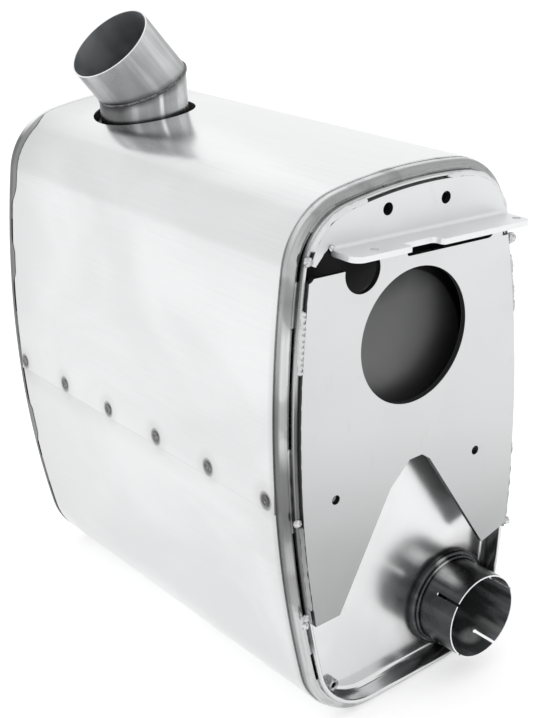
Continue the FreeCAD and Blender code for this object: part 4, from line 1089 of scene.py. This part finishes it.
def mitre_bead(centre, plane, half):
    """Rippled bead round the mitre, which is an ellipse in the plane between the two lengths."""
    welds = bpy.context.scene.muffler_welds
    long_way = Vector((plane.z, 0.0, -plane.x)) / math.cos(half)
    count, around, width = 480, 12, 3.8
    rings = []
    for index in range(count):
        angle = 2 * math.pi * index / count
        out = long_way * math.cos(angle) + Vector((0, 1, 0)) * math.sin(angle)
        fat = 1 + 0.3 * noise.noise(Vector((math.cos(angle) * 4.0, math.sin(angle) * 4.0, 1.0)))
        wander = 0.6 * noise.noise(Vector((math.cos(angle) * 3.0, math.sin(angle) * 3.0, 9.0)))
        ring = []
        for step in range(around):
            turn = 2 * math.pi * step / around
            rise = math.sin(turn)
            lift = rippled(angle * OUTLET_RADIUS, turn, 0.4, welds.pitch, welds.ripple)[1] * fat
            height = rise * 1.1 * lift if rise > 0 else rise * 1.2
            shift = -math.cos(turn) * width / 2 * fat + wander
            ring.append((centre + out * (OUTLET_RADIUS + height) + plane * shift) * MM)
        rings.append(ring)
    return loft(rings, closed=True)


def build_outlet():
    half = math.radians(TIP_LEAN / 2)
    centre = Vector((OUTLET[0], OUTLET[1], MITRE_HEIGHT))
    up = Vector((0, 0, 1))
    lean = Vector((-math.sin(2 * half), 0.0, math.cos(2 * half)))
    plane = Vector((-math.sin(half), 0.0, math.cos(half)))
    outer = OUTLET_RADIUS
    inner = OUTLET_RADIUS - OUTLET_WALL
    bottom = BOX_HEIGHT - SHELL_DROP - STUB_DIP - MITRE_HEIGHT
    middle = -75.0
    stub = [(outer, None, bottom), (outer, None, middle), (outer, plane, 0.0),
            (inner, plane, 0.0), (inner, None, middle), (inner, None, bottom)]
    stub = loft([outlet_ring(radius, up, cutting, place) for radius, cutting, place in stub], closed=True)
    finished("stub", stub, "outlet_steel", 40.0, "outlet_stub")
    bevel = TIP_LENGTH - SAWN_BEVEL
    tip = [(outer, plane, 0.0), (outer, None, bevel), (outer - SAWN_BEVEL, None, TIP_LENGTH),
           (inner + SAWN_BEVEL, None, TIP_LENGTH), (inner, None, bevel), (inner, plane, 0.0)]
    tip = loft([outlet_ring(radius, lean, cutting, place) for radius, cutting, place in tip], closed=True)
    finished("tip", tip, "outlet_steel", 40.0, "outlet_tip", "cut_steel",
             lambda face: is_cut(face, centre, lean) and face.normal.dot(lean) > 0.5)
    bead = mitre_bead(centre, plane, half)
    finished("mitre_bead", bead, "burnt_weld", 60.0, "outlet_mitre_weld")


# Bracket
def swept_strip():
    """Thin strip round the bracket from the foot of one leg over the arch to the foot of the other."""
    inner = STRIP_INSET + STRIP_WIDTH
    corners = ((STRIP_INSET, STRIP_FACE), (STRIP_INSET, PLATE_BACK), (inner, PLATE_BACK), (inner, STRIP_FACE))
    run = run_of_outline(0.0, 6.0, lambda x, z: z > STRIP_FOOT)
    return loft([[inset_point(point, inset, y) for inset, y in corners] for point in run])


def build_bracket():
    for name in ("upper_plate", "lower_plate"):
        node = "bracket_" + name
        finished(name, merged_copy(node), "bracket_paint", 30.0, node)
    finished("edge_strip", swept_strip(), "border_paint", 35.0, "bracket_edge_strip")


def lumped(node, share):
    """The node's beads, shrunk about their middle, with lumps, and flatter where they stand off the plate."""
    bm = merged_copy(node)
    if share < 1.0:
        middle = sum((vertex.co for vertex in bm.verts), Vector()) / len(bm.verts)
        for vertex in bm.verts:
            vertex.co = middle + (vertex.co - middle) * share
    face = PLATE_FACE * MM
    for vertex in bm.verts:
        lump = noise.noise_vector(vertex.co * 260.0)
        vertex.co += Vector((1.1 * lump.x, 0.6 * lump.y, 1.1 * lump.z)) * MM
        if vertex.co.y < face:
            vertex.co.y = face + (vertex.co.y - face) * 0.55
    return bm


def build_bracket_welds():
    welds = bpy.context.scene.muffler_welds
    beads = []
    for index, (left, right, low, high, inset, width, rise, ripple) in enumerate(BORDER_RUNS):
        run = run_of_outline(inset, 0.8, lambda x, z: left < x < right and low < z < high)
        pitch = welds.pitch * 1.9 if ripple > 0.1 else welds.pitch
        beads.append(weld_bead(run, STRIP_FACE + 0.2, width, rise, 2.0, pitch, index * 5.1, ripple))
    finished("border_beads", joined(beads), "border_paint", 60.0, "bracket_edge_welds")
    singles = (("end_beads", "bracket_bead_welds", 1.0), ("shelf_bead", "shelf_end_weld", 0.7))
    for name, node, share in singles:
        finished(name, lumped(node, share), "bracket_weld", 60.0, node)


# Inside of the box
def dress_inside():
    coats = {"insulation_mat": "wool", "outlet_base_weld": "burnt_weld"}
    coats.update(dict.fromkeys(("inner_shell", "front_baffle", "rear_baffle"), "shell_steel"))
    coats.update(dict.fromkeys(
        ("inlet_tube", "return_tube", "outlet_tube", "transfer_tube_1", "transfer_tube_2"), "tube_steel"))
    for node, coat in coats.items():
        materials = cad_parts[node].data.materials
        materials.clear()
        materials.append(finish(coat))


# Stage
def build_camera():
    azimuth = math.radians(CAMERA_AZIMUTH)
    elevation = math.radians(CAMERA_ELEVATION)
    roll = math.radians(CAMERA_ROLL)
    back = Vector((math.sin(azimuth) * math.cos(elevation), -math.cos(azimuth) * math.cos(elevation),
                   math.sin(elevation)))
    right = Vector((math.cos(azimuth), math.sin(azimuth), 0.0))
    up = back.cross(right)
    across = right * math.cos(roll) + up * math.sin(roll)
    upward = up * math.cos(roll) - right * math.sin(roll)
    data = bpy.data.cameras.new("camera")
    data.sensor_fit = "VERTICAL"
    data.sensor_height = 36.0
    data.lens = FOCAL_PIXELS / PHOTO_HEIGHT * 36.0
    data.shift_y = CENTRE_SHIFT / PHOTO_HEIGHT
    data.clip_start = 0.05
    data.clip_end = 60.0
    camera = linked("camera", data)
    turn = Matrix((across, upward, back)).transposed().to_4x4()
    camera.matrix_world = Matrix.Translation(Vector(CAMERA_PLACE) * MM) @ turn
    bpy.context.scene.camera = camera


def build_floor(colour):
    """White floor that keeps the shadow and is a little brighter where it is seen."""
    bm = bmesh.new()
    bmesh.ops.create_grid(bm, x_segments=1, y_segments=1, size=9.0)
    floor = linked("floor", meshed("floor", bm))
    look = Finish("floor", colour)
    speck = look.noise((2.0, 2.0, 2.0), detail=2.0)
    tone = look.mix(look.spread(speck, 0.3, 0.7), 0.99, 1.0)
    body = look.node("ShaderNodeBsdfPrincipled", inputs={"Base Color": tone, "Roughness": 0.9})
    glow = look.node("ShaderNodeEmission", inputs={"Color": (1.0, 1.0, 1.0, 1.0), "Strength": 0.45})
    clear = look.node("ShaderNodeEmission", inputs={"Color": (0.0, 0.0, 0.0, 1.0), "Strength": 0.0})
    glow = look.node("ShaderNodeMixShader", inputs={0: look.seen(), 1: clear, 2: glow})
    floor.data.materials.append(look.output(look.node("ShaderNodeAddShader", inputs={0: body, 1: glow})))


def build_world():
    """White studio: fully white where it is seen, a little dimmer as light."""
    world = bpy.data.worlds.new("studio")
    bpy.context.scene.world = world
    sky = Nodes(world)
    strength = sky.node("ShaderNodeMapRange", inputs={"Value": sky.seen(), "To Min": 0.80, "To Max": 1.0})
    white = sky.node("ShaderNodeBackground", inputs={"Color": (1.0, 1.0, 1.0, 1.0), "Strength": strength})
    sky.node("ShaderNodeOutputWorld", inputs={"Surface": white})


def build_stage():
    settings = bpy.context.scene.muffler_stage
    build_floor(tuple(settings.floor))
    build_world()
    for name, place, size, share in (
            ("main_lamp", (-2.2, -1.6, 3.2), 2.6, 1.0),
            ("fill_lamp", (2.6, -2.2, 2.2), 2.6, 0.45),
            ("back_lamp", (0.8, 2.8, 2.8), 2.4, 0.5)):
        data = bpy.data.lights.new(name, "AREA")
        data.shape = "SQUARE"
        data.size = size
        data.energy = settings.lamp_power * share
        lamp = linked(name, data)
        aim = Vector((0, 0, 0.3)) - Vector(place)
        lamp.matrix_world = Matrix.Translation(place) @ aim.to_track_quat("-Z", "Y").to_matrix().to_4x4()
    bpy.context.scene.view_settings.view_transform = "Standard"


# Operators
class MUFFLER_OT_jacket(bpy.types.Operator):
    """Make the outer jacket with its lap and spot welds"""
    bl_idname = "muffler.jacket"
    bl_label = "Jacket"

    def execute(self, context):
        build_jacket()
        build_spot_welds()
        return {"FINISHED"}


class MUFFLER_OT_rims(bpy.types.Operator):
    """Make the rolled rims at both ends and their stitch welds"""
    bl_idname = "muffler.rims"
    bl_label = "Rims"

    def execute(self, context):
        build_rims()
        build_stitches()
        return {"FINISHED"}


class MUFFLER_OT_caps(bpy.types.Operator):
    """Make the pressed end caps"""
    bl_idname = "muffler.caps"
    bl_label = "End caps"

    def execute(self, context):
        build_caps()
        return {"FINISHED"}


class MUFFLER_OT_inlet(bpy.types.Operator):
    """Make the slotted inlet socket, its collar and its weld"""
    bl_idname = "muffler.inlet"
    bl_label = "Inlet"

    def execute(self, context):
        build_inlet()
        return {"FINISHED"}


class MUFFLER_OT_drain(bpy.types.Operator):
    """Make the drain bush"""
    bl_idname = "muffler.drain"
    bl_label = "Drain"

    def execute(self, context):
        build_drain()
        return {"FINISHED"}


class MUFFLER_OT_outlet(bpy.types.Operator):
    """Make the outlet stub, its mitred tip and the weld between them"""
    bl_idname = "muffler.outlet"
    bl_label = "Outlet"

    def execute(self, context):
        build_outlet()
        return {"FINISHED"}


class MUFFLER_OT_bracket(bpy.types.Operator):
    """Make the bracket's plates, border strip and welds"""
    bl_idname = "muffler.bracket"
    bl_label = "Bracket"

    def execute(self, context):
        build_bracket()
        build_bracket_welds()
        return {"FINISHED"}


class MUFFLER_OT_inside(bpy.types.Operator):
    """Give the shell, baffles, tubes and wool their finishes"""
    bl_idname = "muffler.inside"
    bl_label = "Inside"

    def execute(self, context):
        dress_inside()
        return {"FINISHED"}


class MUFFLER_OT_stage(bpy.types.Operator):
    """Make the floor, the lamps, the world and the camera"""
    bl_idname = "muffler.stage"
    bl_label = "Stage"

    def execute(self, context):
        build_stage()
        build_camera()
        return {"FINISHED"}


class MUFFLER_PT_sidebar(bpy.types.Panel):
    """The muffler's settings and pieces"""
    bl_idname = "MUFFLER_PT_sidebar"
    bl_label = "Muffler"
    bl_space_type = "VIEW_3D"
    bl_region_type = "UI"
    bl_category = "Muffler"

    def draw(self, context):
        for name in GROUPS:
            group = getattr(context.scene, name)
            box = self.layout.box()
            for setting in group.__annotations__:
                box.prop(group, setting)
        for operator in OPERATORS:
            self.layout.operator(operator.bl_idname)


GROUPS = {"muffler_colours": MufflerColours, "muffler_welds": MufflerWelds, "muffler_stage": MufflerStage}
OPERATORS = (
    MUFFLER_OT_jacket, MUFFLER_OT_rims, MUFFLER_OT_caps, MUFFLER_OT_inlet, MUFFLER_OT_drain,
    MUFFLER_OT_outlet, MUFFLER_OT_bracket, MUFFLER_OT_inside, MUFFLER_OT_stage)


def register():
    for name, group in GROUPS.items():
        bpy.utils.register_class(group)
        setattr(bpy.types.Scene, name, bpy.props.PointerProperty(type=group))
    for item in OPERATORS + (MUFFLER_PT_sidebar,):
        bpy.utils.register_class(item)


def unregister():
    for item in reversed(OPERATORS + (MUFFLER_PT_sidebar,)):
        bpy.utils.unregister_class(item)
    for name, group in reversed(GROUPS.items()):
        delattr(bpy.types.Scene, name)
        bpy.utils.unregister_class(group)


def main():
    register()
    bpy.ops.muffler.jacket()
    bpy.ops.muffler.rims()
    bpy.ops.muffler.caps()
    bpy.ops.muffler.inlet()
    bpy.ops.muffler.drain()
    bpy.ops.muffler.outlet()
    bpy.ops.muffler.bracket()
    bpy.ops.muffler.inside()
    bpy.ops.muffler.stage()


if __name__ == "__main__":
    main()
